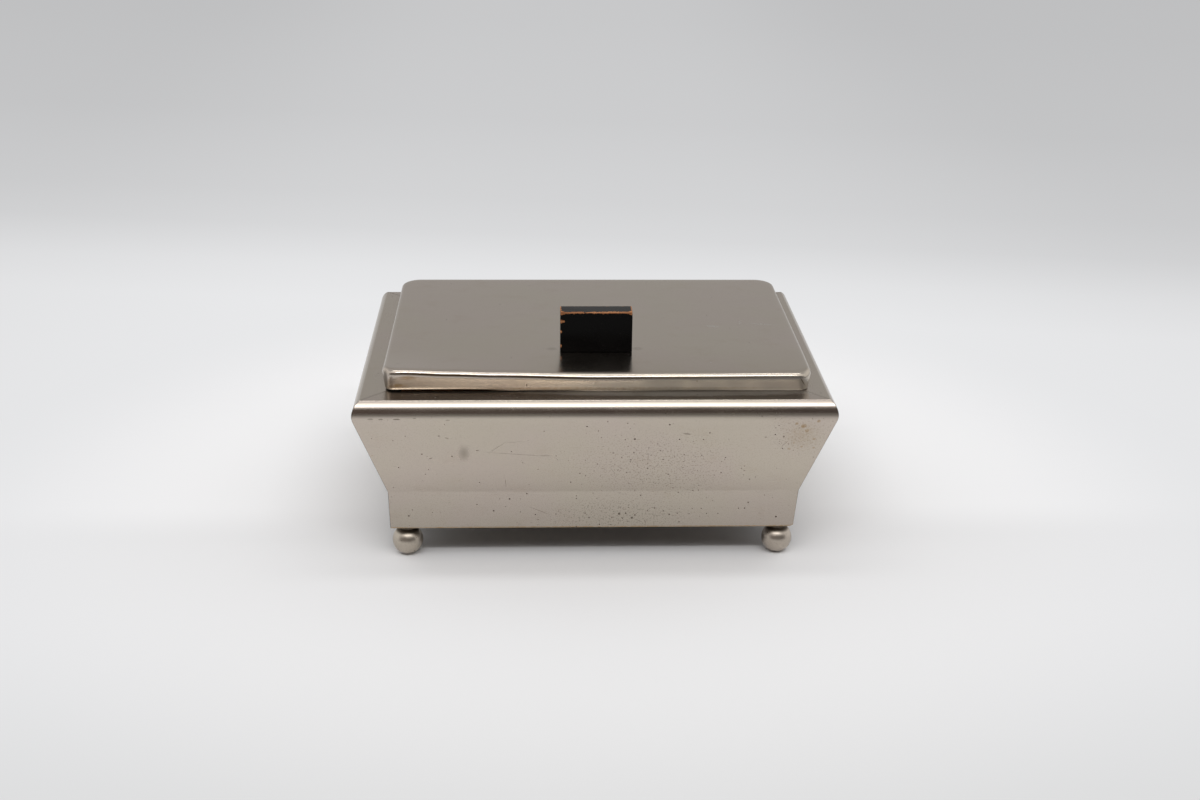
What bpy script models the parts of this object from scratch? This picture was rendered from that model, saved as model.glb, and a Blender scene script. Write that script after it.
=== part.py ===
"""Art deco desk box: flared sheet-metal body on four ball feet, wooden liner, hinged lid with a block handle.

Run it with blender --background --python part.py, or from Blender's text editor.
Units are metres, +Z is up and the front faces -Y.
The origin is the middle of the box, on the surface it stands on.
"""

import math

import bmesh
import bpy
from mathutils import Matrix, Vector

# Overall form of the body
RIM_WIDTH = 0.1529
RIM_DEPTH = 0.1166
SKIRT_HEIGHT = 0.01307
SKIRT_LEAN = 0.00038
FLARE_HEIGHT = 0.0350
FLARE_OUT = 0.00965

# Sheet of the four wall panels: the opening lies inside the skirt, so that the liner stands on the base plate
SHEET = 0.0009
KINK_RADIUS = 0.0080
ROLL_RADIUS = 0.00515
OPENING_INSET = 0.0032
LIP_BEND_RADIUS = 0.0005
LIP_DROP = 0.0036

# Gaps between pieces
SEAT_GAP = 0.0003
MITRE_GAP = 0.00015
FASTENER_GAP = 0.00015
MERGE_DISTANCE = 0.000001
PIN_CLEARANCE = 0.00006

# Ball feet
FOOT_DIAMETER = 0.0100
FOOT_FLAT_RADIUS = 0.0012
FOOT_NECK_RADIUS = 0.0026
FOOT_NECK_RISE = 0.00125
FOOT_INSET = 0.00518
FOOT_DRILL_ROOM = 0.0010

# Base plate
BASE_SHEET = 0.0010
BASE_RECESS = 0.0003

# Screws and washers that hold the feet
FOOT_SCREW_RADIUS = 0.0012
FOOT_SCREW_LENGTH = 0.0070
FOOT_SCREW_HEAD_RADIUS = 0.0024
FOOT_SCREW_HEAD_HEIGHT = 0.0016
FOOT_WASHER_RADIUS = 0.0029
FOOT_WASHER_THICKNESS = 0.0005

# Cedar liner
LINER_BOARD = 0.0030
LINER_FLOOR = 0.0040
LINER_RISE = 0.0030
LINER_CLEARANCE = 0.0005
LINER_ROUNDING = 0.0006
LINER_RELIEF_ROOM = 0.0004

# Lid pan
LID_MARGIN_FRONT = 0.0088
LID_MARGIN_REAR = 0.0076
LID_MARGIN_LEFT = 0.0089
LID_MARGIN_RIGHT = 0.0073
LID_SHEET = 0.0008
LID_HEIGHT = 0.0063
LID_EDGE_RADIUS = 0.0020
LID_CORNER_RADIUS = 0.0050

# Handle block
HANDLE_WIDTH = 0.0234
HANDLE_THICKNESS = 0.0068
HANDLE_HEIGHT = 0.01345
HANDLE_SETBACK = 0.0188
HANDLE_BEVEL = 0.0003

# Wood screws and washers that hold the handle
HANDLE_SCREW_RADIUS = 0.0013
HANDLE_SCREW_LENGTH = 0.0098
HANDLE_SCREW_HEAD_RADIUS = 0.0024
HANDLE_SCREW_HEAD_HEIGHT = 0.0014
HANDLE_SCREW_INSET = 0.0052
HANDLE_WASHER_RADIUS = 0.0030
HANDLE_WASHER_THICKNESS = 0.0005

# Slots in all screw heads
SLOT_WIDTH = 0.0006
SLOT_DEPTH = 0.0006

# Hinge
HINGE_LENGTH = 0.0640
HINGE_KNUCKLES = 5
HINGE_SHEET = 0.0006
KNUCKLE_GAP = 0.0003
BODY_LEAF_SETBACK = 0.0014
LID_LEAF_FLANGE = 0.0070
LID_LEAF_BEND_RADIUS = 0.0009
PIN_HEAD_THICKNESS = 0.0006
RIVET_RADIUS = 0.0008
RIVET_HEAD_RADIUS = 0.0014
RIVET_HEAD_HEIGHT = 0.0006

# What the corners of the box and the ends of the handle are called
CORNERS = ("front_left", "front_right", "rear_left", "rear_right")
ENDS = ("left", "right")

# How finely round forms are divided
BEND_STEP = math.radians(9)
LID_EDGE_STEPS = 5
LID_CORNER_STEPS = 8
TURNED_STEPS = 24
RIVET_STEPS = 16
BALL_STEPS = 16
HEAD_STEP = math.radians(15)
SMOOTH_ANGLE = math.radians(35)
CURL_END = math.radians(208)

# How far every cutter runs past the piece it cuts
OVERRUN = 0.0010

# Heights, from the surface up
FOOT_CENTRE = math.sqrt((FOOT_DIAMETER / 2) ** 2 - FOOT_FLAT_RADIUS**2)
FOOT_HEIGHT = FOOT_CENTRE + FOOT_DIAMETER / 2 + FOOT_NECK_RISE
BASE_BOTTOM = FOOT_HEIGHT + SEAT_GAP
BASE_TOP = BASE_BOTTOM + BASE_SHEET
SKIRT_BOTTOM = BASE_BOTTOM - BASE_RECESS
KINK_HEIGHT = SKIRT_BOTTOM + SKIRT_HEIGHT
BORDER_TOP = KINK_HEIGHT + FLARE_HEIGHT
FOOT_WASHER_BOTTOM = BASE_TOP + FASTENER_GAP
FOOT_SCREW_SEAT = FOOT_WASHER_BOTTOM + FOOT_WASHER_THICKNESS + FASTENER_GAP
FOOT_SCREW_TOP = FOOT_SCREW_SEAT + FOOT_SCREW_HEAD_HEIGHT
FOOT_HOLE_BOTTOM = FOOT_SCREW_SEAT - FOOT_SCREW_LENGTH - FOOT_DRILL_ROOM
LINER_BOTTOM = BASE_TOP + SEAT_GAP
LINER_FLOOR_TOP = LINER_BOTTOM + LINER_FLOOR
LINER_TOP = BORDER_TOP + LINER_RISE
LID_BOTTOM = BORDER_TOP + SEAT_GAP
LID_TOP = LID_BOTTOM + LID_HEIGHT
LID_INSIDE_TOP = LID_TOP - LID_SHEET

# Half sizes of the body, seen from above
HALF_WIDTH = RIM_WIDTH / 2
HALF_DEPTH = RIM_DEPTH / 2
SKIRT_SETBACK = FLARE_OUT + SKIRT_LEAN
BORDER_WIDTH = SKIRT_SETBACK + SHEET + OPENING_INSET
OPENING_HALF_WIDTH = HALF_WIDTH - BORDER_WIDTH
OPENING_HALF_DEPTH = HALF_DEPTH - BORDER_WIDTH
BASE_HALF_WIDTH = HALF_WIDTH - SKIRT_SETBACK - SHEET - SEAT_GAP
BASE_HALF_DEPTH = HALF_DEPTH - SKIRT_SETBACK - SHEET - SEAT_GAP
FOOT_X = HALF_WIDTH - SKIRT_SETBACK - FOOT_INSET
FOOT_Y = HALF_DEPTH - SKIRT_SETBACK - FOOT_INSET
LINER_HALF_WIDTH = OPENING_HALF_WIDTH - LINER_CLEARANCE
LINER_HALF_DEPTH = OPENING_HALF_DEPTH - LINER_CLEARANCE
LINER_RELIEF_RADIUS = FOOT_WASHER_RADIUS + LINER_RELIEF_ROOM

# The lid seen from above, and the block on it
LID_LEFT = -HALF_WIDTH + LID_MARGIN_LEFT
LID_RIGHT = HALF_WIDTH - LID_MARGIN_RIGHT
LID_FRONT = -HALF_DEPTH + LID_MARGIN_FRONT
LID_REAR = HALF_DEPTH - LID_MARGIN_REAR
LID_CENTRE = Vector(((LID_LEFT + LID_RIGHT) / 2, (LID_FRONT + LID_REAR) / 2, 0))
HANDLE_Y = LID_FRONT + HANDLE_SETBACK + HANDLE_THICKNESS / 2
HANDLE_BOTTOM = LID_TOP + FASTENER_GAP
HANDLE_WASHER_TOP = LID_INSIDE_TOP - FASTENER_GAP
HANDLE_SCREW_SEAT = HANDLE_WASHER_TOP - HANDLE_WASHER_THICKNESS - FASTENER_GAP
HANDLE_SCREW_X = HANDLE_WIDTH / 2 - HANDLE_SCREW_INSET

# Hinge: its barrel is as thick as the lid's wall, the solder gap and the leaf, which lies inside the wall
BARREL_RADIUS = LID_SHEET + SEAT_GAP + HINGE_SHEET
BORE_RADIUS = BARREL_RADIUS - HINGE_SHEET
PIN_RADIUS = BORE_RADIUS - PIN_CLEARANCE
HINGE_AXIS = Vector((LID_CENTRE.x, LID_REAR, BORDER_TOP + SEAT_GAP + BARREL_RADIUS))
KNUCKLE_PITCH = HINGE_LENGTH / HINGE_KNUCKLES
KNUCKLE_ROOM = BARREL_RADIUS + KNUCKLE_GAP
BODY_LEAF_REACH = BORDER_WIDTH - LID_MARGIN_REAR - BODY_LEAF_SETBACK
PIN_HALF_LENGTH = HINGE_LENGTH / 2 + KNUCKLE_GAP / 2


def clear_scene():
    """Removes whatever the scene holds, such as the startup cube."""
    for obj in list(bpy.data.objects):
        bpy.data.objects.remove(obj)


def finish(name, colour, roughness, metallic):
    """A Principled material with one colour, roughness and metallic value."""
    material = bpy.data.materials.new(name)
    material.use_nodes = True
    shader = material.node_tree.nodes["Principled BSDF"]
    shader.inputs["Base Color"].default_value = (*colour, 1.0)
    shader.inputs["Roughness"].default_value = roughness
    shader.inputs["Metallic"].default_value = metallic
    return material


def make_finishes():
    """The materials of all pieces, by name."""
    return {
        "nickel": finish("satin_nickel", (0.60, 0.56, 0.50), 0.32, 1.0),
        "brass": finish("bare_brass", (0.62, 0.47, 0.22), 0.35, 1.0),
        "steel": finish("screw_steel", (0.50, 0.49, 0.47), 0.40, 1.0),
        "cedar": finish("cedar_wood", (0.42, 0.21, 0.10), 0.65, 0.0),
        "ebonised": finish("ebonised_wood", (0.012, 0.011, 0.010), 0.28, 0.0),
    }


def add_object(name, bm, material, parent=None, place=Vector(), turn=0.0):
    """Turns bm into an object of that name, put at a world place and turned about Z."""
    bmesh.ops.recalc_face_normals(bm, faces=bm.faces)
    mesh = bpy.data.meshes.new(name)
    bm.to_mesh(mesh)
    bm.free()
    mesh.shade_smooth()
    mesh.set_sharp_from_angle(angle=SMOOTH_ANGLE)
    obj = bpy.data.objects.new(name, mesh)
    bpy.context.scene.collection.objects.link(obj)
    if material:
        mesh.materials.append(material)
    if parent:
        obj.parent = parent
        place = place - parent.location
    obj.location = place
    obj.rotation_euler.z = turn
    return obj


def cut(obj, name, bm):
    """Subtracts the closed shapes in bm, given in obj's own coordinates, with a Boolean modifier."""
    cutter = add_object(f"{name}_cutter", bm, None)
    cutter.parent = obj
    cutter.hide_render = True
    cutter.display_type = "WIRE"
    modifier = obj.modifiers.new(name, "BOOLEAN")
    modifier.operation = "DIFFERENCE"
    modifier.solver = "EXACT"
    modifier.object = cutter


def box(bm, low, high):
    """Adds a box between two corners and returns its vertices."""
    low, high = Vector(low), Vector(high)
    made = bmesh.ops.create_cube(bm, size=1)["verts"]
    size = high - low
    bmesh.ops.scale(bm, vec=size, verts=made)
    bmesh.ops.translate(bm, vec=(low + high) / 2, verts=made)
    return made


def cylinder(bm, radius, bottom, top, x=0.0, y=0.0):
    """Adds an upright cylinder between two heights."""
    made = bmesh.ops.create_cone(
        bm, cap_ends=True, segments=TURNED_STEPS, radius1=radius, radius2=radius, depth=top - bottom
    )["verts"]
    bmesh.ops.translate(bm, vec=(x, y, (bottom + top) / 2), verts=made)


def turned(outline, steps=TURNED_STEPS):
    """The round shape of an (r, z) outline, which starts and ends on the axis or closes on itself."""
    bm = bmesh.new()
    verts = [bm.verts.new((r, 0, z)) for r, z in outline]
    edges = [bm.edges.new(pair) for pair in zip(verts, verts[1:])]
    if outline[0][0] > 0:
        edges.append(bm.edges.new((verts[-1], verts[0])))
    bmesh.ops.spin(
        bm, geom=verts + edges, axis=(0, 0, 1), cent=(0, 0, 0), steps=steps, angle=math.tau, use_merge=True
    )
    bmesh.ops.remove_doubles(bm, verts=bm.verts, dist=MERGE_DISTANCE)
    return bm


def arc(centre, radius, start, end, step=BEND_STEP):
    """Points on an arc from one angle to another, both ends included."""
    count = max(2, math.ceil(abs(end - start) / step))
    angles = [start + (end - start) * i / count for i in range(count + 1)]
    return [Vector((centre[0] + radius * math.cos(a), centre[1] + radius * math.sin(a))) for a in angles]


def extruded(bm, outline, start, end):
    """Extrudes a closed (y, z) outline along X and returns the vertices at the start and at the end."""
    face = bm.faces.new([bm.verts.new((start, p[0], p[1])) for p in outline])
    first = list(face.verts)
    grown = bmesh.ops.extrude_face_region(bm, geom=[face], use_keep_orig=True)["geom"]
    last = [v for v in grown if isinstance(v, bmesh.types.BMVert)]
    bmesh.ops.translate(bm, vec=(end - start, 0, 0), verts=last)
    return first, last


def rounded_path(corners, radii):
    """The path through corners, with an arc of the given radius at each inner corner."""
    path = [corners[0]]
    for before, corner, after, radius in zip(corners, corners[1:], corners[2:], radii):
        back, ahead = (before - corner).normalized(), (after - corner).normalized()
        half = back.angle(ahead) / 2
        centre = corner + (back + ahead).normalized() * (radius / math.sin(half))
        to_start = corner + back * (radius / math.tan(half)) - centre
        to_end = corner + ahead * (radius / math.tan(half)) - centre
        start = math.atan2(to_start.y, to_start.x)
        sweep = math.atan2(to_start.x * to_end.y - to_start.y * to_end.x, to_start.dot(to_end))
        path += arc(centre, radius, start, start + sweep)
    return path + [corners[-1]]


def moved_sideways(corners, distance):
    """The corners of the path that runs at a distance to the right of this one."""
    moved = []
    for i, corner in enumerate(corners):
        before = (corner - corners[i - 1]).normalized() if i else None
        after = (corners[i + 1] - corner).normalized() if i < len(corners) - 1 else None
        before, after = before or after, after or before
        side = (Vector((before.y, -before.x)) + Vector((after.y, -after.x))).normalized()
        moved.append(corner + side * (distance / side.dot(Vector((after.y, -after.x)))))
    return moved


def bent_sheet(corners, radii, turns, thickness):
    """Closed outline of a bent sheet, its show side along the corners. A turn of 1 bends right, -1 left."""
    show = rounded_path(corners, radii)
    hidden_radii = [radius - turn * thickness for radius, turn in zip(radii, turns)]
    hidden = rounded_path(moved_sideways(corners, thickness), hidden_radii)
    return show + hidden[::-1]


def panel_outline():
    """The (setback, height) outline of a wall panel: skirt, flare, rolled rim, border and lip."""
    kink = Vector((FLARE_OUT, KINK_HEIGHT))
    to_roll = Vector((ROLL_RADIUS, BORDER_TOP - ROLL_RADIUS)) - kink
    slope = math.atan2(to_roll.y, to_roll.x) + math.asin(ROLL_RADIUS / to_roll.length)
    rim = kink + Vector((math.cos(slope), math.sin(slope))) * (FLARE_HEIGHT / math.sin(slope))
    corners = [
        Vector((SKIRT_SETBACK, SKIRT_BOTTOM)),
        kink,
        rim,
        Vector((BORDER_WIDTH, BORDER_TOP)),
        Vector((BORDER_WIDTH, BORDER_TOP - LIP_DROP)),
    ]
    return bent_sheet(corners, [KINK_RADIUS, ROLL_RADIUS, LIP_BEND_RADIUS + SHEET], [-1, 1, 1], SHEET)


def make_panel(name, half_length, distance, turn, material):
    """One wall panel, whose ends are mitred at 45 degrees to meet its neighbours."""
    bm = bmesh.new()
    outline = panel_outline()
    face_outline = [(setback - distance, height) for setback, height in outline]
    first, last = extruded(bm, face_outline, -half_length, half_length)
    for verts, side in ((first, -1), (last, 1)):
        for vert in verts:
            setback = vert.co.y + distance
            vert.co.x = side * (half_length - setback - MITRE_GAP / math.sqrt(2))
    return add_object(name, bm, material, turn=turn)


def rivet_places():
    """Where the rivets go through the rear border: one in front of each of the body leaf's knuckles."""
    y = HINGE_AXIS.y - (KNUCKLE_ROOM + BODY_LEAF_REACH) / 2
    middle = (HINGE_KNUCKLES - 1) / 2
    return [Vector((HINGE_AXIS.x + (i - middle) * KNUCKLE_PITCH, y, 0)) for i in range(0, HINGE_KNUCKLES, 2)]


def make_body(finishes):
    """The four wall panels. The rear one is drilled for the hinge's rivets."""
    nickel = finishes["nickel"]
    make_panel("front_panel", HALF_WIDTH, HALF_DEPTH, 0, nickel)
    make_panel("right_panel", HALF_DEPTH, HALF_WIDTH, math.pi / 2, nickel)
    rear = make_panel("rear_panel", HALF_WIDTH, HALF_DEPTH, math.pi, nickel)
    make_panel("left_panel", HALF_DEPTH, HALF_WIDTH, -math.pi / 2, nickel)
    bm = bmesh.new()
    for place in rivet_places():
        # The rear panel is turned half round, so its own x and y point the other way.
        hole = RIVET_RADIUS + FASTENER_GAP
        cylinder(bm, hole, BORDER_TOP - SHEET - OVERRUN, BORDER_TOP + OVERRUN, -place.x, -place.y)
    cut(rear, "rivet_holes", bm)


def foot_places():
    """Where the feet stand, in the order of CORNERS."""
    return [Vector((x, y, 0)) for y in (-FOOT_Y, FOOT_Y) for x in (-FOOT_X, FOOT_X)]


def make_base_plate(finishes):
    """The flat plate soldered inside the skirt, with a hole over each foot."""
    bm = bmesh.new()
    box(bm, (-BASE_HALF_WIDTH, -BASE_HALF_DEPTH, BASE_BOTTOM), (BASE_HALF_WIDTH, BASE_HALF_DEPTH, BASE_TOP))
    plate = add_object("base_plate", bm, finishes["nickel"])
    bm = bmesh.new()
    for place in foot_places():
        hole = FOOT_SCREW_RADIUS + FASTENER_GAP
        cylinder(bm, hole, BASE_BOTTOM - OVERRUN, BASE_TOP + OVERRUN, place.x, place.y)
    cut(plate, "screw_holes", bm)


def make_feet(finishes):
    """Four turned balls, each with a worn flat below, a short neck above and a tapped hole."""
    radius = FOOT_DIAMETER / 2
    low = -math.acos(FOOT_FLAT_RADIUS / radius)
    high = math.acos(FOOT_NECK_RADIUS / radius)
    hole = FOOT_SCREW_RADIUS + FASTENER_GAP
    outline = [Vector((0, 0)), *arc((0, FOOT_CENTRE), radius, low, high, (high - low) / BALL_STEPS)]
    outline += [Vector((FOOT_NECK_RADIUS, FOOT_HEIGHT)), Vector((hole, FOOT_HEIGHT))]
    outline += [Vector((hole, FOOT_HOLE_BOTTOM)), Vector((0, FOOT_HOLE_BOTTOM))]
    for corner, place in zip(CORNERS, foot_places()):
        add_object(f"foot_{corner}", turned(outline), finishes["nickel"], place=place)


def screw_outline(radius, length, head_radius, head_height):
    """An (r, z) outline of a round-headed screw, with its shank below z = 0 and its head above."""
    shank = [Vector((0, -length)), Vector((radius, -length)), Vector((radius, 0))]
    rise = math.asin(min(1, head_height / head_radius))
    dome = arc((0, 0), 1, 0, rise, HEAD_STEP)
    scale = head_height / math.sin(rise)
    head = [Vector((head_radius * p.x, scale * p.y)) for p in dome]
    return shank + head + [Vector((0, head_height))]


def slotted_screw(name, outline, head_radius, head_face, material, place, parent=None):
    """A turned screw at a place, with a slot across its head, whose outer face is at the height head_face."""
    screw = add_object(name, turned(outline), material, parent, place)
    bm = bmesh.new()
    reach, depth = head_radius + OVERRUN, math.copysign(SLOT_DEPTH, head_face)
    low, high = sorted((head_face - depth, head_face + depth))
    box(bm, (-reach, -SLOT_WIDTH / 2, low), (reach, SLOT_WIDTH / 2, high))
    cut(screw, f"{name}_slot", bm)


def washer_outline(hole, radius, thickness):
    """An (r, z) outline of a flat washer that stands on z = 0."""
    return [Vector((hole, 0)), Vector((radius, 0)), Vector((radius, thickness)), Vector((hole, thickness))]


def make_foot_fasteners(finishes):
    """The screws that hold the feet from inside, and the washers under their heads."""
    head_radius, head_height = FOOT_SCREW_HEAD_RADIUS, FOOT_SCREW_HEAD_HEIGHT
    outline = screw_outline(FOOT_SCREW_RADIUS, FOOT_SCREW_LENGTH, head_radius, head_height)
    ring = washer_outline(FOOT_SCREW_RADIUS + FASTENER_GAP, FOOT_WASHER_RADIUS, FOOT_WASHER_THICKNESS)
    for corner, place in zip(CORNERS, foot_places()):
        seat = place + Vector((0, 0, FOOT_SCREW_SEAT))
        name = f"foot_screw_{corner}"
        slotted_screw(name, outline, head_radius, head_height, finishes["steel"], seat)
        under_head = place + Vector((0, 0, FOOT_WASHER_BOTTOM))
        add_object(f"foot_washer_{corner}", turned(ring), finishes["brass"], place=under_head)


def edges_at(bm, height):
    """The edges of bm that lie level at a height."""
    return [e for e in bm.edges if all(abs(v.co.z - height) < MERGE_DISTANCE for v in e.verts)]


def make_board(name, low, high, material):
    """One board of the liner, bored from below over the screw heads. A wall has its upper edges eased."""
    bm = bmesh.new()
    box(bm, low, high)
    if high[2] == LINER_TOP:
        upper = edges_at(bm, LINER_TOP)
        bmesh.ops.bevel(bm, geom=upper, offset=LINER_ROUNDING, segments=2, affect="EDGES", profile=0.5)
    board = add_object(name, bm, material)
    bm = bmesh.new()
    for place in foot_places():
        top = FOOT_SCREW_TOP + SEAT_GAP
        cylinder(bm, LINER_RELIEF_RADIUS, LINER_BOTTOM - OVERRUN, top, place.x, place.y)
    cut(board, f"{name}_reliefs", bm)


def make_liner(finishes):
    """The cedar box that stands on the base plate: a floor between four walls."""
    cedar = finishes["cedar"]
    wide, deep = LINER_HALF_WIDTH, LINER_HALF_DEPTH
    inner_wide, inner_deep = wide - LINER_BOARD, deep - LINER_BOARD
    floor_wide, floor_deep = inner_wide - SEAT_GAP, inner_deep - SEAT_GAP
    side_deep = inner_deep - SEAT_GAP
    low, high = LINER_BOTTOM, LINER_TOP
    floor_top = LINER_FLOOR_TOP
    make_board("liner_floor", (-floor_wide, -floor_deep, low), (floor_wide, floor_deep, floor_top), cedar)
    make_board("liner_front", (-wide, -deep, low), (wide, -inner_deep, high), cedar)
    make_board("liner_rear", (-wide, inner_deep, low), (wide, deep, high), cedar)
    make_board("liner_left", (-wide, -side_deep, low), (-inner_wide, side_deep, high), cedar)
    make_board("liner_right", (inner_wide, -side_deep, low), (wide, side_deep, high), cedar)


def make_lid_pan(finishes, axis):
    """The pressed lid: a shallow pan with round edges and corners, notched at the rear for the hinge."""
    half_width = (LID_RIGHT - LID_LEFT) / 2
    half_depth = (LID_REAR - LID_FRONT) / 2
    bm = bmesh.new()
    box(bm, (-half_width, -half_depth, LID_BOTTOM), (half_width, half_depth, LID_TOP))
    upright = [e for e in bm.edges if e not in edges_at(bm, LID_TOP) + edges_at(bm, LID_BOTTOM)]
    bmesh.ops.bevel(
        bm, geom=upright, offset=LID_CORNER_RADIUS, segments=LID_CORNER_STEPS, affect="EDGES", profile=0.5
    )
    top_edges = edges_at(bm, LID_TOP)
    bmesh.ops.bevel(
        bm, geom=top_edges, offset=LID_EDGE_RADIUS, segments=LID_EDGE_STEPS, affect="EDGES", profile=0.5
    )
    underside = [f for f in bm.faces if all(e in edges_at(bm, LID_BOTTOM) for e in f.edges)]
    bmesh.ops.delete(bm, geom=underside, context="FACES")
    pan = add_object("lid_pan", bm, finishes["nickel"], axis, LID_CENTRE)
    wall = pan.modifiers.new("wall", "SOLIDIFY")
    wall.thickness = LID_SHEET
    wall.offset = -1
    wall.use_even_offset = True

    offset = HINGE_AXIS - LID_CENTRE
    half_notch = PIN_HALF_LENGTH + PIN_HEAD_THICKNESS + SEAT_GAP
    bm = bmesh.new()
    low = (-half_notch, offset.y - KNUCKLE_ROOM, LID_BOTTOM - OVERRUN)
    high = (half_notch, offset.y + OVERRUN, HINGE_AXIS.z + KNUCKLE_ROOM)
    box(bm, low, high)
    cut(pan, "hinge_notch", bm)
    bm = bmesh.new()
    for place in handle_screw_places():
        at = place - LID_CENTRE
        hole = HANDLE_SCREW_RADIUS + FASTENER_GAP
        cylinder(bm, hole, LID_INSIDE_TOP - OVERRUN, LID_TOP + OVERRUN, at.x, at.y)
    cut(pan, "screw_clearance", bm)


def handle_screw_places():
    """Where the two screws go up through the lid into the handle, in the order of ENDS."""
    return [Vector((LID_CENTRE.x + side * HANDLE_SCREW_X, HANDLE_Y, 0)) for side in (-1, 1)]


def make_handle(finishes, axis):
    """The upright wooden block, its sharp edges eased, with two pilot holes from below."""
    bm = bmesh.new()
    low = (-HANDLE_WIDTH / 2, -HANDLE_THICKNESS / 2, 0)
    high = (HANDLE_WIDTH / 2, HANDLE_THICKNESS / 2, HANDLE_HEIGHT)
    box(bm, low, high)
    above_seat = [e for e in bm.edges if max(v.co.z for v in e.verts) > SEAT_GAP]
    bmesh.ops.bevel(bm, geom=above_seat, offset=HANDLE_BEVEL, segments=1, affect="EDGES")
    place = Vector((LID_CENTRE.x, HANDLE_Y, HANDLE_BOTTOM))
    handle = add_object("handle", bm, finishes["ebonised"], axis, place)
    bm = bmesh.new()
    depth = HANDLE_SCREW_SEAT + HANDLE_SCREW_LENGTH + SEAT_GAP - HANDLE_BOTTOM
    for side in (-1, 1):
        pilot = HANDLE_SCREW_RADIUS + FASTENER_GAP
        cylinder(bm, pilot, -OVERRUN, depth, side * HANDLE_SCREW_X)
    cut(handle, "pilot_holes", bm)


def make_handle_fasteners(finishes, axis):
    """Two slotted screws with washers, driven up from inside the lid."""
    upright = screw_outline(
        HANDLE_SCREW_RADIUS, HANDLE_SCREW_LENGTH, HANDLE_SCREW_HEAD_RADIUS, HANDLE_SCREW_HEAD_HEIGHT
    )
    outline = [Vector((r, -z)) for r, z in upright]
    ring = washer_outline(HANDLE_SCREW_RADIUS + FASTENER_GAP, HANDLE_WASHER_RADIUS, HANDLE_WASHER_THICKNESS)
    brass = finishes["brass"]
    for end, place in zip(ENDS, handle_screw_places()):
        seat = place + Vector((0, 0, HANDLE_SCREW_SEAT))
        name = f"handle_screw_{end}"
        slotted_screw(name, outline, HANDLE_SCREW_HEAD_RADIUS, -HANDLE_SCREW_HEAD_HEIGHT, brass, seat, axis)
        washer_bottom = place + Vector((0, 0, HANDLE_WASHER_TOP - HANDLE_WASHER_THICKNESS))
        add_object(f"handle_washer_{end}", turned(ring), brass, axis, washer_bottom)


def curl():
    """The rolled knuckle as (along, out) points about the pin: the sheet leaves it at (0, -BARREL_RADIUS)."""
    outer = arc((0, 0), BARREL_RADIUS, -math.pi / 2, CURL_END)
    inner = arc((0, 0), BORE_RADIUS, CURL_END, -math.pi / 2)
    return outer + inner


def knuckle_gaps(own):
    """The stretches along X, about the hinge's middle, that a leaf leaves to the other leaf's knuckles."""
    gaps = []
    for i in range(HINGE_KNUCKLES):
        if i % 2 == own:
            continue
        start = -HINGE_LENGTH / 2 + i * KNUCKLE_PITCH - KNUCKLE_GAP / 2
        end = start + KNUCKLE_PITCH + KNUCKLE_GAP
        gaps.append((start - OVERRUN if i == 0 else start, end + OVERRUN if i == HINGE_KNUCKLES - 1 else end))
    return gaps


def make_hinge(finishes, axis):
    """The hinge: a body leaf riveted to the border, a lid leaf soldered in the lid, and the pin."""
    brass = finishes["brass"]
    half, sheet, radius = HINGE_LENGTH / 2, HINGE_SHEET, BARREL_RADIUS
    reach = BARREL_RADIUS + OVERRUN

    leaf = [*curl(), Vector((-BODY_LEAF_REACH, sheet - radius)), Vector((-BODY_LEAF_REACH, -radius))]
    bm = bmesh.new()
    extruded(bm, leaf, -half, half)
    body_leaf = add_object("hinge_body_leaf", bm, brass, place=HINGE_AXIS)
    bm = bmesh.new()
    for start, end in knuckle_gaps(0):
        box(bm, (start, -KNUCKLE_ROOM, -reach), (end, reach, reach))
    cut(body_leaf, "lid_knuckle_room", bm)
    bm = bmesh.new()
    for place in rivet_places():
        at = place - HINGE_AXIS
        hole = RIVET_RADIUS + FASTENER_GAP
        cylinder(bm, hole, -radius - OVERRUN, sheet - radius + OVERRUN, at.x, at.y)
    cut(body_leaf, "leaf_rivet_holes", bm)

    # The lid leaf is the same curl turned a quarter: its sheet climbs the wall and folds under the top.
    under = LID_INSIDE_TOP - SEAT_GAP - HINGE_AXIS.z - sheet
    corners = [Vector((-radius, 0)), Vector((-radius, under)), Vector((-radius - LID_LEAF_FLANGE, under))]
    front = rounded_path(corners, [LID_LEAF_BEND_RADIUS])
    back = rounded_path(moved_sideways(corners, sheet), [LID_LEAF_BEND_RADIUS + sheet])
    turned_curl = [Vector((out, -along)) for along, out in curl()]
    leaf = turned_curl + back[1:] + front[::-1][:-1]
    bm = bmesh.new()
    extruded(bm, leaf, -half, half)
    lid_leaf = add_object("hinge_lid_leaf", bm, brass, axis, HINGE_AXIS)
    bm = bmesh.new()
    for start, end in knuckle_gaps(1):
        box(bm, (start, -reach, -reach), (end, reach, KNUCKLE_ROOM))
    cut(lid_leaf, "body_knuckle_room", bm)

    head = PIN_HALF_LENGTH + PIN_HEAD_THICKNESS
    outline = [
        Vector((0, -head)),
        Vector((BORE_RADIUS, -head)),
        Vector((BORE_RADIUS + sheet / 2, -PIN_HALF_LENGTH)),
        Vector((PIN_RADIUS, -PIN_HALF_LENGTH)),
    ]
    outline += [Vector((r, -z)) for r, z in outline[::-1]]
    bm = turned(outline)
    bmesh.ops.rotate(bm, cent=(0, 0, 0), matrix=Matrix.Rotation(math.pi / 2, 3, "Y"), verts=bm.verts)
    add_object("hinge_pin", bm, finishes["steel"], place=HINGE_AXIS)


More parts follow.
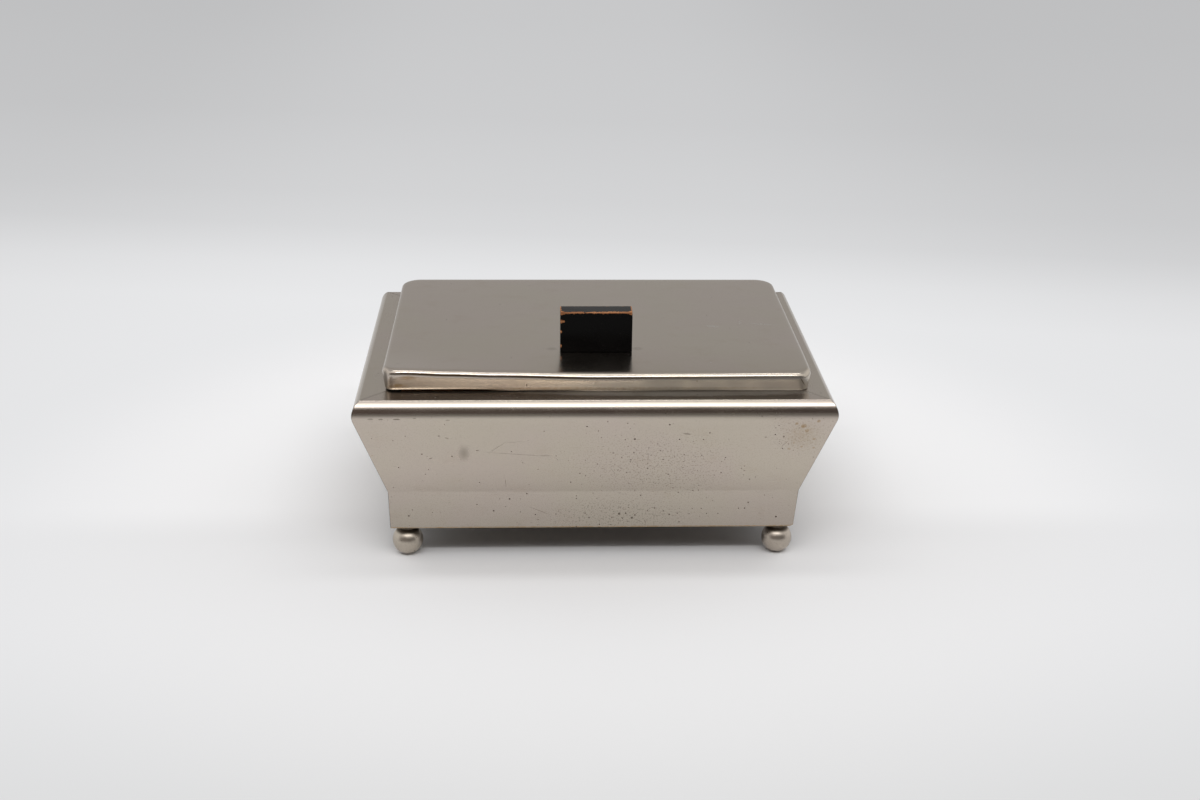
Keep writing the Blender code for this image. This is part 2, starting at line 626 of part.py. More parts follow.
def make_rivets(finishes):
    """The rivets that hold the body leaf down on the border, with a head above and a set tail below."""
    leaf_top = BORDER_TOP + SEAT_GAP + HINGE_SHEET + FASTENER_GAP
    tail_top = BORDER_TOP - SHEET - FASTENER_GAP
    crown = RIVET_HEAD_RADIUS - RIVET_HEAD_HEIGHT / 2
    outline = [
        Vector((0, tail_top - RIVET_HEAD_HEIGHT)),
        Vector((crown, tail_top - RIVET_HEAD_HEIGHT)),
        Vector((RIVET_HEAD_RADIUS, tail_top)),
        Vector((RIVET_RADIUS, tail_top)),
        Vector((RIVET_RADIUS, leaf_top)),
        Vector((RIVET_HEAD_RADIUS, leaf_top)),
        Vector((crown, leaf_top + RIVET_HEAD_HEIGHT)),
        Vector((0, leaf_top + RIVET_HEAD_HEIGHT)),
    ]
    for number, place in enumerate(rivet_places(), start=1):
        add_object(f"hinge_rivet_{number}", turned(outline, RIVET_STEPS), finishes["brass"], place=place)


def main():
    """Builds the whole box. The lid's pieces hang from an empty on the hinge's axis."""
    clear_scene()
    finishes = make_finishes()
    axis = bpy.data.objects.new("lid_axis", None)
    axis.location = HINGE_AXIS
    bpy.context.scene.collection.objects.link(axis)
    make_body(finishes)
    make_base_plate(finishes)
    make_feet(finishes)
    make_foot_fasteners(finishes)
    make_liner(finishes)
    make_lid_pan(finishes, axis)
    make_handle(finishes, axis)
    make_handle_fasteners(finishes, axis)
    make_hinge(finishes, axis)
    make_rivets(finishes)


main()
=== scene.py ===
"""Looks of the art deco box: nickel walls, lid and ball feet, lacquered handle, brass hinge, cedar liner.

Everything is in metres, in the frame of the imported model: +Z is up, the front faces -Y, and the origin is
on the surface the box stands on. Each class below is one sub-assembly or one finish.
"""

import logging
import math
from collections.abc import Callable, Iterable, Mapping, Sequence
from dataclasses import dataclass, field
from enum import Enum
from itertools import product
from typing import Any

import bmesh
import bpy
from mathutils import Matrix, Quaternion, Vector, noise


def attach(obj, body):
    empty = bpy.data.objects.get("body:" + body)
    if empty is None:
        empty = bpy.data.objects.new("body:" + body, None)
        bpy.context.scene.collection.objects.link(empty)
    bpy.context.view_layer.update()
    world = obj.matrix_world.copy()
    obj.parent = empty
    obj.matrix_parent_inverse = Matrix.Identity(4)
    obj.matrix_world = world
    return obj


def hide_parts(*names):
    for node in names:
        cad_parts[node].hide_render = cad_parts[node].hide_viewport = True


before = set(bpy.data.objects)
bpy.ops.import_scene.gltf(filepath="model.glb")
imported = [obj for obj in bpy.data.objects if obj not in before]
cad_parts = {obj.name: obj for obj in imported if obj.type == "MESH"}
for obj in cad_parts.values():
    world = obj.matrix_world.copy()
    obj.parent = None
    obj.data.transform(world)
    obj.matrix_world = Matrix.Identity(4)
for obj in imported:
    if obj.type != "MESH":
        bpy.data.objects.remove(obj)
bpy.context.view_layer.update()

log = logging.getLogger("art_deco_box")

MM = 0.001
MERGE_DISTANCE = 1e-7
SMOOTH_ANGLE = math.radians(32)
BLOCK_ANGLE = math.radians(50)

Colour = tuple[float, float, float]
Point = tuple[float, float, float]
# Where a ramp starts and ends
Span = tuple[float, float]


class Body(Enum):
    """The two moving parts of the box."""

    BASE = "base"
    LID = "lid"


class Slot(Enum):
    """The material slots."""

    NICKEL = "satin_nickel"
    BRASS = "bare_brass"
    STEEL = "screw_steel"
    CEDAR = "cedar_wood"
    EBONISED = "ebonised_wood"


@dataclass(frozen=True)
class Stack:
    """Thicknesses, gaps and heights, from the ground up, that more than one sub-assembly builds on.

    Attributes:
        ball_radius: The radius of a ball foot.
        ball_flat: The radius of the worn flat under it.
        neck_rise: How far the foot's neck rises above the ball's upper pole.
        skirt: The height of the upright skirt.
        flare: The height from the skirt to the border.
        wall_sheet: The thickness of the walls.
        plate: The thickness of the base plate.
        lid: The height of the lid.
        lid_sheet: The thickness of the lid.
        leaf_sheet: The thickness of the hinge's leaves.
        washer: The thickness of every washer.
        seat_gap: The gap under the lid, the body leaf and the base plate.
        fit_gap: The gap between a fastener and what it holds.
        centre_x: The middle of the lid, the handle and the hinge, which sit a little to the right.
    """

    ball_radius: float = 5.0 * MM
    ball_flat: float = 1.2 * MM
    neck_rise: float = 1.25 * MM
    skirt: float = 13.07 * MM
    flare: float = 35.0 * MM
    wall_sheet: float = 0.90 * MM
    plate: float = 1.0 * MM
    lid: float = 6.3 * MM
    lid_sheet: float = 0.80 * MM
    leaf_sheet: float = 0.60 * MM
    washer: float = 0.5 * MM
    seat_gap: float = 0.30 * MM
    fit_gap: float = 0.15 * MM
    centre_x: float = 0.80 * MM

    @property
    def ball_centre(self) -> float:
        """The height of a ball's middle."""
        return math.sqrt(self.ball_radius**2 - self.ball_flat**2)

    @property
    def feet_top(self) -> float:
        """The height of the feet's necks, where the skirt begins."""
        return self.ball_centre + self.ball_radius + self.neck_rise

    @property
    def plate_top(self) -> float:
        """The height of the base plate's upper side."""
        return self.feet_top + self.seat_gap + self.plate

    @property
    def border_top(self) -> float:
        """The height of the border."""
        return self.feet_top + self.skirt + self.flare

    @property
    def lid_bottom(self) -> float:
        """The height of the lid's lip and of the body leaf's underside."""
        return self.border_top + self.seat_gap

    @property
    def lid_top(self) -> float:
        """The height of the lid's top."""
        return self.lid_bottom + self.lid

    @property
    def lid_inside(self) -> float:
        """The height of the lid's inner side."""
        return self.lid_top - self.lid_sheet


STACK = Stack()


# Node trees


class Wire:
    """One output socket of a node, with the usual arithmetic on values."""

    def __init__(self, graph: "Graph", socket: bpy.types.NodeSocket) -> None:
        """Keeps the socket and the graph it belongs to.

        Args:
            graph: The graph that makes further nodes.
            socket: The output socket.
        """
        self.graph = graph
        self.socket = socket

    def __add__(self, other: "Wire | float") -> "Wire":
        """self + other."""
        return self.graph.math("ADD", self, other)

    def __radd__(self, other: float) -> "Wire":
        """other + self."""
        return self.graph.math("ADD", other, self)

    def __sub__(self, other: "Wire | float") -> "Wire":
        """self - other."""
        return self.graph.math("SUBTRACT", self, other)

    def __rsub__(self, other: float) -> "Wire":
        """other - self."""
        return self.graph.math("SUBTRACT", other, self)

    def __mul__(self, other: "Wire | float") -> "Wire":
        """self * other."""
        return self.graph.math("MULTIPLY", self, other)

    def __rmul__(self, other: float) -> "Wire":
        """other * self."""
        return self.graph.math("MULTIPLY", other, self)

    def __truediv__(self, other: "Wire | float") -> "Wire":
        """self / other."""
        return self.graph.math("DIVIDE", self, other)

    def __rtruediv__(self, other: float) -> "Wire":
        """other / self."""
        return self.graph.math("DIVIDE", other, self)

    def __pow__(self, other: "Wire | float") -> "Wire":
        """self to the power of other."""
        return self.graph.math("POWER", self, other)

    def __abs__(self) -> "Wire":
        """The size of self without its sign."""
        return self.graph.math("ABSOLUTE", self)

    def __gt__(self, other: "Wire | float") -> "Wire":
        """1 where self is greater than other, and 0 elsewhere."""
        return self.graph.math("GREATER_THAN", self, other)

    def least(self, other: "Wire | float") -> "Wire":
        """The smaller of self and other."""
        return self.graph.math("MINIMUM", self, other)

    def most(self, other: "Wire | float") -> "Wire":
        """The greater of self and other."""
        return self.graph.math("MAXIMUM", self, other)

    def ramp(self, start: float, end: float, low: float = 0.0, high: float = 1.0) -> "Wire":
        """Runs smoothly from low to high as self goes from start to end, and is level outside.

        Args:
            start: Where the ramp starts.
            end: Where it ends, which may be below start.
            low: The value at start.
            high: The value at end.

        Returns:
            The value along the ramp.
        """
        settings = {"interpolation_type": "SMOOTHSTEP"}
        if end < start:
            start, end, low, high = end, start, high, low
        values = {0: self, 1: start, 2: end, 3: low, 4: high}
        return self.graph.node("ShaderNodeMapRange", settings, values)[0]


class Made:
    """A node that was made, whose outputs are read as wires."""

    def __init__(self, graph: "Graph", node: bpy.types.Node) -> None:
        """Keeps the node.

        Args:
            graph: The graph that the node is in.
            node: The node.
        """
        self.graph = graph
        self.node = node

    def __getitem__(self, key: int | str) -> Wire:
        """The output with that number or name."""
        return Wire(self.graph, self.node.outputs[key])


class Graph:
    """A node tree that is written as expressions."""

    def __init__(self, tree: bpy.types.NodeTree) -> None:
        """Keeps the tree, which starts empty.

        Args:
            tree: A shader or geometry tree.
        """
        self.tree = tree
        tree.nodes.clear()

    def node(
        self,
        kind: str,
        settings: Mapping[str, Any] | None = None,
        values: Mapping[int | str, Any] | None = None,
    ) -> Made:
        """Makes any node.

        Args:
            kind: The node's type.
            settings: Its settings, set first. stops gives the places and colours of a colour ramp.
            values: What goes into its sockets, by number or name: a wire to link, or a value to set.

        Returns:
            The node.
        """
        node = self.tree.nodes.new(kind)
        for key, value in (settings or {}).items():
            if key == "stops":
                self._set_stops(node.color_ramp, value)
            else:
                setattr(node, key, value)
        for key, value in (values or {}).items():
            socket = node.inputs[key]
            if isinstance(value, Wire):
                self.tree.links.new(value.socket, socket)
            elif isinstance(value, tuple) and socket.type == "RGBA" and len(value) == 3:
                socket.default_value = (*value, 1.0)
            else:
                socket.default_value = value
        return Made(self, node)

    @staticmethod
    def _set_stops(ramp: bpy.types.ColorRamp, stops: Sequence[tuple[float, Colour]]) -> None:
        """Gives a ramp its stops.

        Args:
            ramp: The ramp, which has two stops to begin with.
            stops: The place and colour of each stop.
        """
        while len(ramp.elements) < len(stops):
            ramp.elements.new(1.0)
        for element, (place, colour) in zip(ramp.elements, stops):
            element.position = place
            element.color = (*colour, 1.0)

    def math(self, operation: str, *operands: Wire | float) -> Wire:
        """The result of one Math node."""
        return self.node("ShaderNodeMath", {"operation": operation}, dict(enumerate(operands)))[0]

    def vector(self, operation: str, *operands: Wire | Point) -> Wire:
        """The vector result of one Vector Math node."""
        return self.node("ShaderNodeVectorMath", {"operation": operation}, dict(enumerate(operands)))[0]

    def length(self, vector: Wire) -> Wire:
        """How long a vector is."""
        return self.node("ShaderNodeVectorMath", {"operation": "LENGTH"}, {0: vector})["Value"]

    def parts(self, vector: Wire) -> tuple[Wire, Wire, Wire]:
        """The x, y and z of a vector."""
        made = self.node("ShaderNodeSeparateXYZ", None, {0: vector})
        return made[0], made[1], made[2]

    def joined(self, x: Wire | float, y: Wire | float, z: Wire | float) -> Wire:
        """The vector of three values."""
        return self.node("ShaderNodeCombineXYZ", None, {0: x, 1: y, 2: z})[0]

    def mix(
        self, share: Wire | float, first: Wire | Colour, second: Wire | Colour, blend: str = "MIX"
    ) -> Wire:
        """Mixes two colours.

        Args:
            share: How much of the second one there is, from 0 to 1.
            first: A colour.
            second: Another colour.
            blend: The way of mixing, such as MIX or MULTIPLY.

        Returns:
            The mixed colour.
        """
        settings = {"data_type": "RGBA", "blend_type": blend, "clamp_factor": True}
        return self.node("ShaderNodeMix", settings, {0: share, 6: first, 7: second})[2]

    def dimmed(self, share: Wire | float, colour: Wire | Colour, factor: float) -> Wire:
        """A colour, multiplied by a factor where the share is 1."""
        return self.mix(share, colour, (factor, factor, factor), "MULTIPLY")

    def grain(self, place: Wire, scale: Point | float, detail: float = 2.0, roughness: float = 0.5) -> Wire:
        """Noise from 0 to 1 whose features are 1 / scale metres long in each direction.

        Args:
            place: Where the surface is, in metres.
            scale: Features per metre along x, y and z, or one number for all three.
            detail: How many finer layers there are.
            roughness: How strong the finer layers are.

        Returns:
            The noise.
        """
        scales = scale if isinstance(scale, tuple) else (scale, scale, scale)
        scaled = self.vector("MULTIPLY", place, scales)
        values = {"Vector": scaled, "Scale": 1.0, "Detail": detail, "Roughness": roughness}
        return self.node("ShaderNodeTexNoise", None, values)["Fac"]


# Marks on a surface


@dataclass(frozen=True)
class Mark:
    """One mark, a soft ellipse at a place on the surface: a blemish, and also painted shade.

    Attributes:
        u: Its middle along the surface, in millimetres.
        v: Its middle up or across the surface, in millimetres.
        half_u: Half its length, in millimetres.
        half_v: Half its width, in millimetres.
        strength: How much of the mark's colour it has, from 0 to 1.
        turn: How far its length is turned from u, in degrees.
        core: The share of its radius inside which it is full.
    """

    u: float
    v: float
    half_u: float
    half_v: float
    strength: float
    turn: float = 0.0
    core: float = 0.5

    def drawn(self, g: Graph, place: Wire) -> Wire:
        """The mark's strength at each place.

        Args:
            g: The graph to draw in.
            place: Where the surface is, in metres, with nothing in z.

        Returns:
            The strength, 0 outside the mark.
        """
        values = {
            "Vector": place,
            "Location": (self.u * MM, self.v * MM, 0.0),
            "Rotation": (0.0, 0.0, math.radians(self.turn)),
            "Scale": (self.half_u * MM, self.half_v * MM, 1.0),
        }
        own = g.node("ShaderNodeMapping", {"vector_type": "TEXTURE"}, values)[0]
        return g.length(own).ramp(1.0, self.core, 0.0, self.strength)


def dot(u: float, v: float, size: float, strength: float) -> Mark:
    """A round mark of that diameter in millimetres."""
    return Mark(u, v, size / 2, size / 2, strength)


def scratch_and_shade_line(start: tuple[float, float], end: tuple[float, float], width: float, strength: float) -> Mark:
    """A straight mark: a line scored in the plate, and also a line of painted shade.

    Args:
        start: One end, in millimetres.
        end: The other end.
        width: How wide it is, in millimetres.
        strength: How much it shows, from 0 to 1.

    Returns:
        The mark.
    """
    across, up = end[0] - start[0], end[1] - start[1]
    middle = ((start[0] + end[0]) / 2, (start[1] + end[1]) / 2)
    turn = math.degrees(math.atan2(up, across))
    return Mark(*middle, math.hypot(across, up) / 2, width / 2, strength, turn, 0.3)


def all_marks(g: Graph, place: Wire, marks: Iterable[Mark]) -> Wire | float:
    """The strongest of several marks at each place.

    Args:
        g: The graph to draw in.
        place: Where the surface is, in metres.
        marks: The marks.

    Returns:
        The strength, or 0 if there are no marks.
    """
    total: Wire | float = 0.0
    for mark in marks:
        drawn = mark.drawn(g, place)
        total = drawn if isinstance(total, float) else total.most(drawn)
    return total


# Finishes


class Surface(Enum):
    """What a finish reads to know where it is on a piece."""

    UNROLLED = "the piece's own UV map, in metres along and up the sheet"
    FROM_ABOVE = "object coordinates, with the height added to the depth"
    ALL_ROUND = "object coordinates"


@dataclass(frozen=True)
class Finish:
    """What every finish has.

    Attributes:
        name: The material's name.
    """

    name: str

    def material(self) -> bpy.types.Material:
        """Makes the finish's material the first time it is asked for.

        Returns:
            The material.
        """
        found = bpy.data.materials.get(self.name)
        if found:
            return found
        material = bpy.data.materials.new(self.name)
        material.use_nodes = True
        self.paint(Graph(material.node_tree))
        return material

    def paint(self, g: Graph) -> None:
        """Draws the finish; each kind has its own way."""
        raise NotImplementedError

    @staticmethod
    def place(g: Graph, surface: Surface) -> Wire:
        """Where the surface is, in metres.

        Args:
            g: The graph to draw in.
            surface: What to read.

        Returns:
            The place as a vector.
        """
        if surface is Surface.UNROLLED:
            return g.node("ShaderNodeUVMap", {"uv_map": "UVMap"})[0]
        found = g.node("ShaderNodeTexCoord")["Object"]
        if surface is Surface.FROM_ABOVE:
            x, y, z = g.parts(found)
            return g.joined(x, y + z, 0.0)
        return found

    @staticmethod
    def relief(g: Graph, height: Wire, depth: float, strength: float) -> Wire:
        """The normal of a surface with fine relief.

        Args:
            g: The graph to draw in.
            height: How high each place is, about 1 at most.
            depth: How deep the relief is, in metres.
            strength: How much of it shows.

        Returns:
            The normal.
        """
        values = {"Strength": strength, "Distance": depth, "Height": height}
        return g.node("ShaderNodeBump", None, values)["Normal"]

    @staticmethod
    def shade(g: Graph, constants: Mapping[str, float], **wires: Wire | Colour | float) -> None:
        """Ends the tree in a Principled shader.

        Args:
            g: The graph to draw in.
            constants: Values that are the same all over, by socket name.
            wires: What goes into Base_Color, Roughness, Metallic and Normal.
        """
        values: dict[int | str, Any] = dict(constants)
        values.update({key.replace("_", " "): value for key, value in wires.items()})
        shader = g.node("ShaderNodeBsdfPrincipled", None, values)
        g.node("ShaderNodeOutputMaterial", None, {"Surface": shader[0]})


@dataclass(frozen=True)
class AgedNickel(Finish):
    """Satin nickel plate with fine brushing, pits through to the metal below, tarnish and marks, and some
    painted shade.

    Attributes:
        surface: What it reads to know where it is.
        colour: The clean metal's colour.
        roughness: How satin it is.
        brushing: Brush lines per metre along and across the sheet.
        pits: How many of the places for a small pit have one, from 0 to 1, away from the pitted patches.
        pitted: Patches where there are more pits.
        dark: Pits, smudges and scores that show dark, and lines of painted shade along contacts and under
            highlights.
        brown: Spots of yellow-brown tarnish, and brown lines of painted shade.
        pale: Dull whitish marks.
        worn: Places where the plate is rubbed and oxidised, and no longer shines.
        worn_colour: The colour of such a place.
        skin: The height below which no dull whitish marks show, in metres; 0 for none.
        edge_line: The height up to which the sheet's lower edge is tarnished, in metres; 0 for none.
        low_shade_tone: How bright the metal is at the sheet's lower edge, as a share of the rest: a painted
            shade.
        low_shade_reach: How far up that painted shade reaches, in metres; 0 for none.
        tone: A factor on the metal's colour.
        shade_and_grime_from: The height above which it is darker, painted shade with some grime, in metres;
            0 for none.
    """

    surface: Surface = Surface.UNROLLED
    colour: Colour = (0.525, 0.465, 0.400)
    roughness: float = 0.25
    brushing: tuple[float, float] = (45.0, 2600.0)
    pits: float = 0.035
    pitted: tuple[Mark, ...] = ()
    dark: tuple[Mark, ...] = ()
    brown: tuple[Mark, ...] = ()
    pale: tuple[Mark, ...] = ()
    worn: tuple[Mark, ...] = ()
    worn_colour: Colour = (0.46, 0.445, 0.42)
    skin: float = 0.0
    edge_line: float = 0.0
    low_shade_tone: float = 0.74
    low_shade_reach: float = 0.0
    tone: float = 1.0
    shade_and_grime_from: float = 0.0

    PIT_AND_SHADE_COLOUR = (0.085, 0.068, 0.050)
    BROWN = (0.300, 0.190, 0.075)
    YELLOW_TINT = (0.520, 0.470, 0.385)
    PINK_TINT = (0.530, 0.458, 0.405)
    BRUSH_TINT = (0.60, 0.55, 0.49)
    PALE = (0.600, 0.580, 0.560)
    SMALL_SPACING = 0.95 * MM
    LARGE_SPACING = 4.3 * MM
    SHADE_AND_GRIME_REACH = 1.0 * MM
    RELIEF = 0.06 * MM

    def paint(self, g: Graph) -> None:
        """Draws metal, brushing, tarnish, pits and marks.

        Args:
            g: The graph to draw in.
        """
        place = self.place(g, self.surface)
        along, across = self.brushing
        brush = g.grain(place, (along, across, along), 3.0, 0.6)
        cloud = g.grain(place, (95.0, 120.0, 100.0), 4.0, 0.6)
        share = all_marks(g, place, self.pitted) + self.pits
        dark = self.dark_places(g, place, cloud, share)
        speckle = g.grain(place, 1800.0, 3.0, 0.6).ramp(0.52, 0.68) * (share + 0.05)
        metal = self.tarnished(g, place, cloud, self.clean_metal(g, place, brush, cloud))
        rough = self.roughness + (brush - 0.5) * 0.10 + (cloud - 0.5) * 0.08 + dark * 0.25
        pale = all_marks(g, place, self.pale)
        if isinstance(pale, Wire) and self.skin:
            pale = pale * (g.parts(self.place(g, Surface.ALL_ROUND))[2] > self.skin)
        if isinstance(pale, Wire):
            broken = pale * g.grain(place, (2200.0, 2600.0, 2200.0), 3.0).ramp(0.42, 0.60)
            metal = g.mix(broken, metal, self.PALE)
            rough = rough + broken * 0.15
        # Pits, dark marks and lines of painted shade all take this dark colour
        metal = g.mix(dark.most(speckle.least(0.45)), metal, self.PIT_AND_SHADE_COLOUR)
        worn = all_marks(g, place, self.worn)
        shine: Wire | float = 1.0
        if isinstance(worn, Wire):
            rubbed = worn * cloud.ramp(0.25, 0.60, 0.70, 1.0)
            metal = g.mix(rubbed * (1.0 - dark) * 0.75, metal, self.worn_colour)
            rough = rough + rubbed * 0.14
            shine = 1.0 - rubbed * 0.25

        waves = g.grain(place, (32.0, 40.0, 36.0), 1.0) + brush * 0.030
        normal = self.relief(g, waves, self.RELIEF, 1.0)
        rough = rough.least(0.9).most(0.05)
        self.shade(g, {}, Base_Color=metal, Metallic=shine, Roughness=rough, Normal=normal)

    def dark_places(self, g: Graph, place: Wire, cloud: Wire, share: Wire | float) -> Wire:
        """Pits, dark marks, lines of painted shade, and painted shade with some grime above a height.

        Args:
            g: The graph to draw in.
            place: Where the surface is, in metres.
            cloud: Soft noise from 0 to 1.
            share: How many of the places for a pit have one.

        Returns:
            How dark each place is, from 0 to 1.
        """
        small = self.pit_layer(g, place, self.SMALL_SPACING, (0.12, 0.28), share * 1.2)
        large = self.pit_layer(g, place, self.LARGE_SPACING, (0.05, 0.11), share * 1.6)
        dark = small.most(large)
        marks = all_marks(g, place, self.dark)
        if isinstance(marks, Wire):
            dark = dark.most(marks)
        # Above that height it is darker: painted shade, with some grime
        if self.shade_and_grime_from:
            shade_and_grime = g.parts(place)[2].ramp(self.shade_and_grime_from, self.shade_and_grime_from + self.SHADE_AND_GRIME_REACH)
            dark = dark.most(shade_and_grime * cloud.ramp(0.2, 0.6, 0.70, 0.95))
        return dark

    def clean_metal(self, g: Graph, place: Wire, brush: Wire, cloud: Wire) -> Wire:
        """The metal's own colour, with brush lines and a warm drift, and painted shade towards the sheet's
        lower edge.

        Args:
            g: The graph to draw in.
            place: Where the surface is, in metres.
            brush: The brush lines, from 0 to 1.
            cloud: Soft noise from 0 to 1.

        Returns:
            The colour.
        """
        drift = g.grain(place, (28.0, 34.0, 30.0), 2.0)
        metal = g.mix(drift.ramp(0.35, 0.65), self.YELLOW_TINT, self.PINK_TINT)
        metal = g.mix(0.5, metal, self.colour)
        metal = g.mix(brush.ramp(0.25, 0.75, 0.0, 0.10), metal, self.BRUSH_TINT)
        metal = g.mix(cloud.ramp(0.52, 0.80, 0.0, 0.10), metal, self.BROWN)
        # Painted shade: darker towards the sheet's lower edge
        if self.low_shade_reach:
            dull = g.parts(place)[1].ramp(self.low_shade_reach, -self.low_shade_reach * 0.25)
            metal = g.dimmed(dull, metal, self.low_shade_tone)
        return metal if self.tone == 1.0 else g.dimmed(1.0, metal, self.tone)

    def tarnished(self, g: Graph, place: Wire, cloud: Wire, metal: Wire) -> Wire:
        """The metal with its brown spots, the tarnish along its lower edge and brown lines of painted shade.

        Args:
            g: The graph to draw in.
            place: Where the surface is, in metres.
            cloud: Soft noise from 0 to 1.
            metal: The clean metal's colour.

        Returns:
            The colour.
        """
        brown = all_marks(g, place, self.brown)
        if self.edge_line:
            up = g.parts(place)[1]
            line = up.ramp(self.edge_line, self.edge_line * 0.3) * (up > -MERGE_DISTANCE)
            line = line * cloud.ramp(0.30, 0.60, 0.35, 0.85)
            brown = line.most(brown) if isinstance(brown, Wire) else line
        if not isinstance(brown, Wire):
            return metal
        blotched = brown * g.grain(place, 900.0, 3.0).ramp(0.30, 0.62, 0.35, 1.0)
        return g.mix(blotched, metal, self.BROWN)

    @staticmethod
    def pit_layer(
        g: Graph, place: Wire, spacing: float, sizes: tuple[float, float], share: Wire | float
    ) -> Wire:
        """Scattered pits.

        Args:
            g: The graph to draw in.
            place: Where the surface is, in metres.
            spacing: How far apart the places for a pit are, in metres.
            sizes: The smallest and greatest radius of a pit, as shares of the spacing.
            share: How many of the places have a pit.

        Returns:
            How much a pit shows, more for a greater one, and 0 outside.
        """
        cells = g.node("ShaderNodeTexVoronoi", {"feature": "F1"}, {"Vector": place, "Scale": 1.0 / spacing})
        size_pick, share_pick, _ = g.parts(cells["Color"])
        low, high = sizes
        size = size_pick**2.0
        inside = (cells["Distance"] / (size * (high - low) + low)).ramp(1.15, 0.75)
        picked = g.math("LESS_THAN", share_pick, share)
        return inside * picked * (size * 0.50 + 0.35)


@dataclass(frozen=True)
class BareBrass(Finish):
    """Bare brass, dull and browned with age."""

    BRIGHT = (0.66, 0.49, 0.22)
    BROWNED = (0.33, 0.21, 0.09)
    DRAWN = (0.74, 0.58, 0.30)
    RELIEF = 0.04 * MM

    def paint(self, g: Graph) -> None:
        """Draws the brass.

        Args:
            g: The graph to draw in.
        """
        place = self.place(g, Surface.ALL_ROUND)
        patina = g.grain(place, 260.0, 4.0, 0.6)
        lines = g.grain(place, (90.0, 2400.0, 2400.0), 2.0)
        metal = g.mix(patina.ramp(0.35, 0.70), self.BRIGHT, self.BROWNED)
        metal = g.mix(lines.ramp(0.3, 0.7, 0.0, 0.25), metal, self.DRAWN)
        rough = patina.ramp(0.3, 0.7, 0.28, 0.46) + (lines - 0.5) * 0.08
        normal = self.relief(g, patina * 0.6 + lines * 0.25, self.RELIEF, 0.6)
        self.shade(g, {"Metallic": 1.0}, Base_Color=metal, Roughness=rough, Normal=normal)


@dataclass(frozen=True)
class ScrewSteel(Finish):
    """Plain turned steel with a few specks of rust."""

    BRIGHT = (0.55, 0.54, 0.52)
    DULL = (0.40, 0.385, 0.365)
    RUST = (0.20, 0.09, 0.035)
    RELIEF = 0.04 * MM

    def paint(self, g: Graph) -> None:
        """Draws the steel.

        Args:
            g: The graph to draw in.
        """
        place = self.place(g, Surface.ALL_ROUND)
        cloud = g.grain(place, 700.0, 4.0, 0.6)
        metal = g.mix(cloud.ramp(0.35, 0.65), self.BRIGHT, self.DULL)
        metal = g.mix(cloud.ramp(0.66, 0.74, 0.0, 0.8), metal, self.RUST)
        rough = cloud.ramp(0.3, 0.75, 0.30, 0.52)
        normal = self.relief(g, cloud, self.RELIEF, 0.5)
        self.shade(g, {"Metallic": 1.0}, Base_Color=metal, Roughness=rough, Normal=normal)


class GrainWay(Enum):
    """The way a board's grain runs, as the scale of its pattern along x, y and z in features per metre."""

    ALONG_X = (14.0, 420.0, 420.0)
    ALONG_Y = (420.0, 14.0, 420.0)


@dataclass(frozen=True)
class CedarWood(Finish):
    """Unvarnished planed cedar.

    Attributes:
        way: The way the grain runs.
    """

    way: GrainWay = GrainWay.ALONG_X

    EARLY = (0.44, 0.225, 0.105)
    LATE = (0.27, 0.115, 0.050)
    FIBRE = (0.52, 0.30, 0.155)
    HEARTWOOD = (0.33, 0.15, 0.075)
    RELIEF = 0.08 * MM

    def paint(self, g: Graph) -> None:
        """Draws rings, fibres and pores.

        Args:
            g: The graph to draw in.
        """
        place = self.place(g, Surface.ALL_ROUND)
        fine = self.way.value
        broad = tuple(step * 0.22 for step in fine)
        rings = g.grain(place, broad, 2.0, 0.45)
        bands = g.math("FRACT", rings * 9.0)
        late = bands.ramp(0.55, 0.92) - bands.ramp(0.94, 1.0)
        fibre = g.grain(place, tuple(step * 4.0 for step in fine), 3.0, 0.6)
        patches = g.grain(place, 40.0, 2.0)
        wood = g.mix(late, self.EARLY, self.LATE)
        wood = g.mix(fibre.ramp(0.3, 0.7, 0.0, 0.45), wood, self.FIBRE)
        wood = g.mix(patches.ramp(0.3, 0.7, 0.0, 0.4), wood, self.HEARTWOOD)
        normal = self.relief(g, late * 0.5 + fibre, self.RELIEF, 0.6)
        rough = fibre.ramp(0.2, 0.8, 0.55, 0.74)
        self.shade(g, {"Metallic": 0.0}, Base_Color=wood, Roughness=rough, Normal=normal)


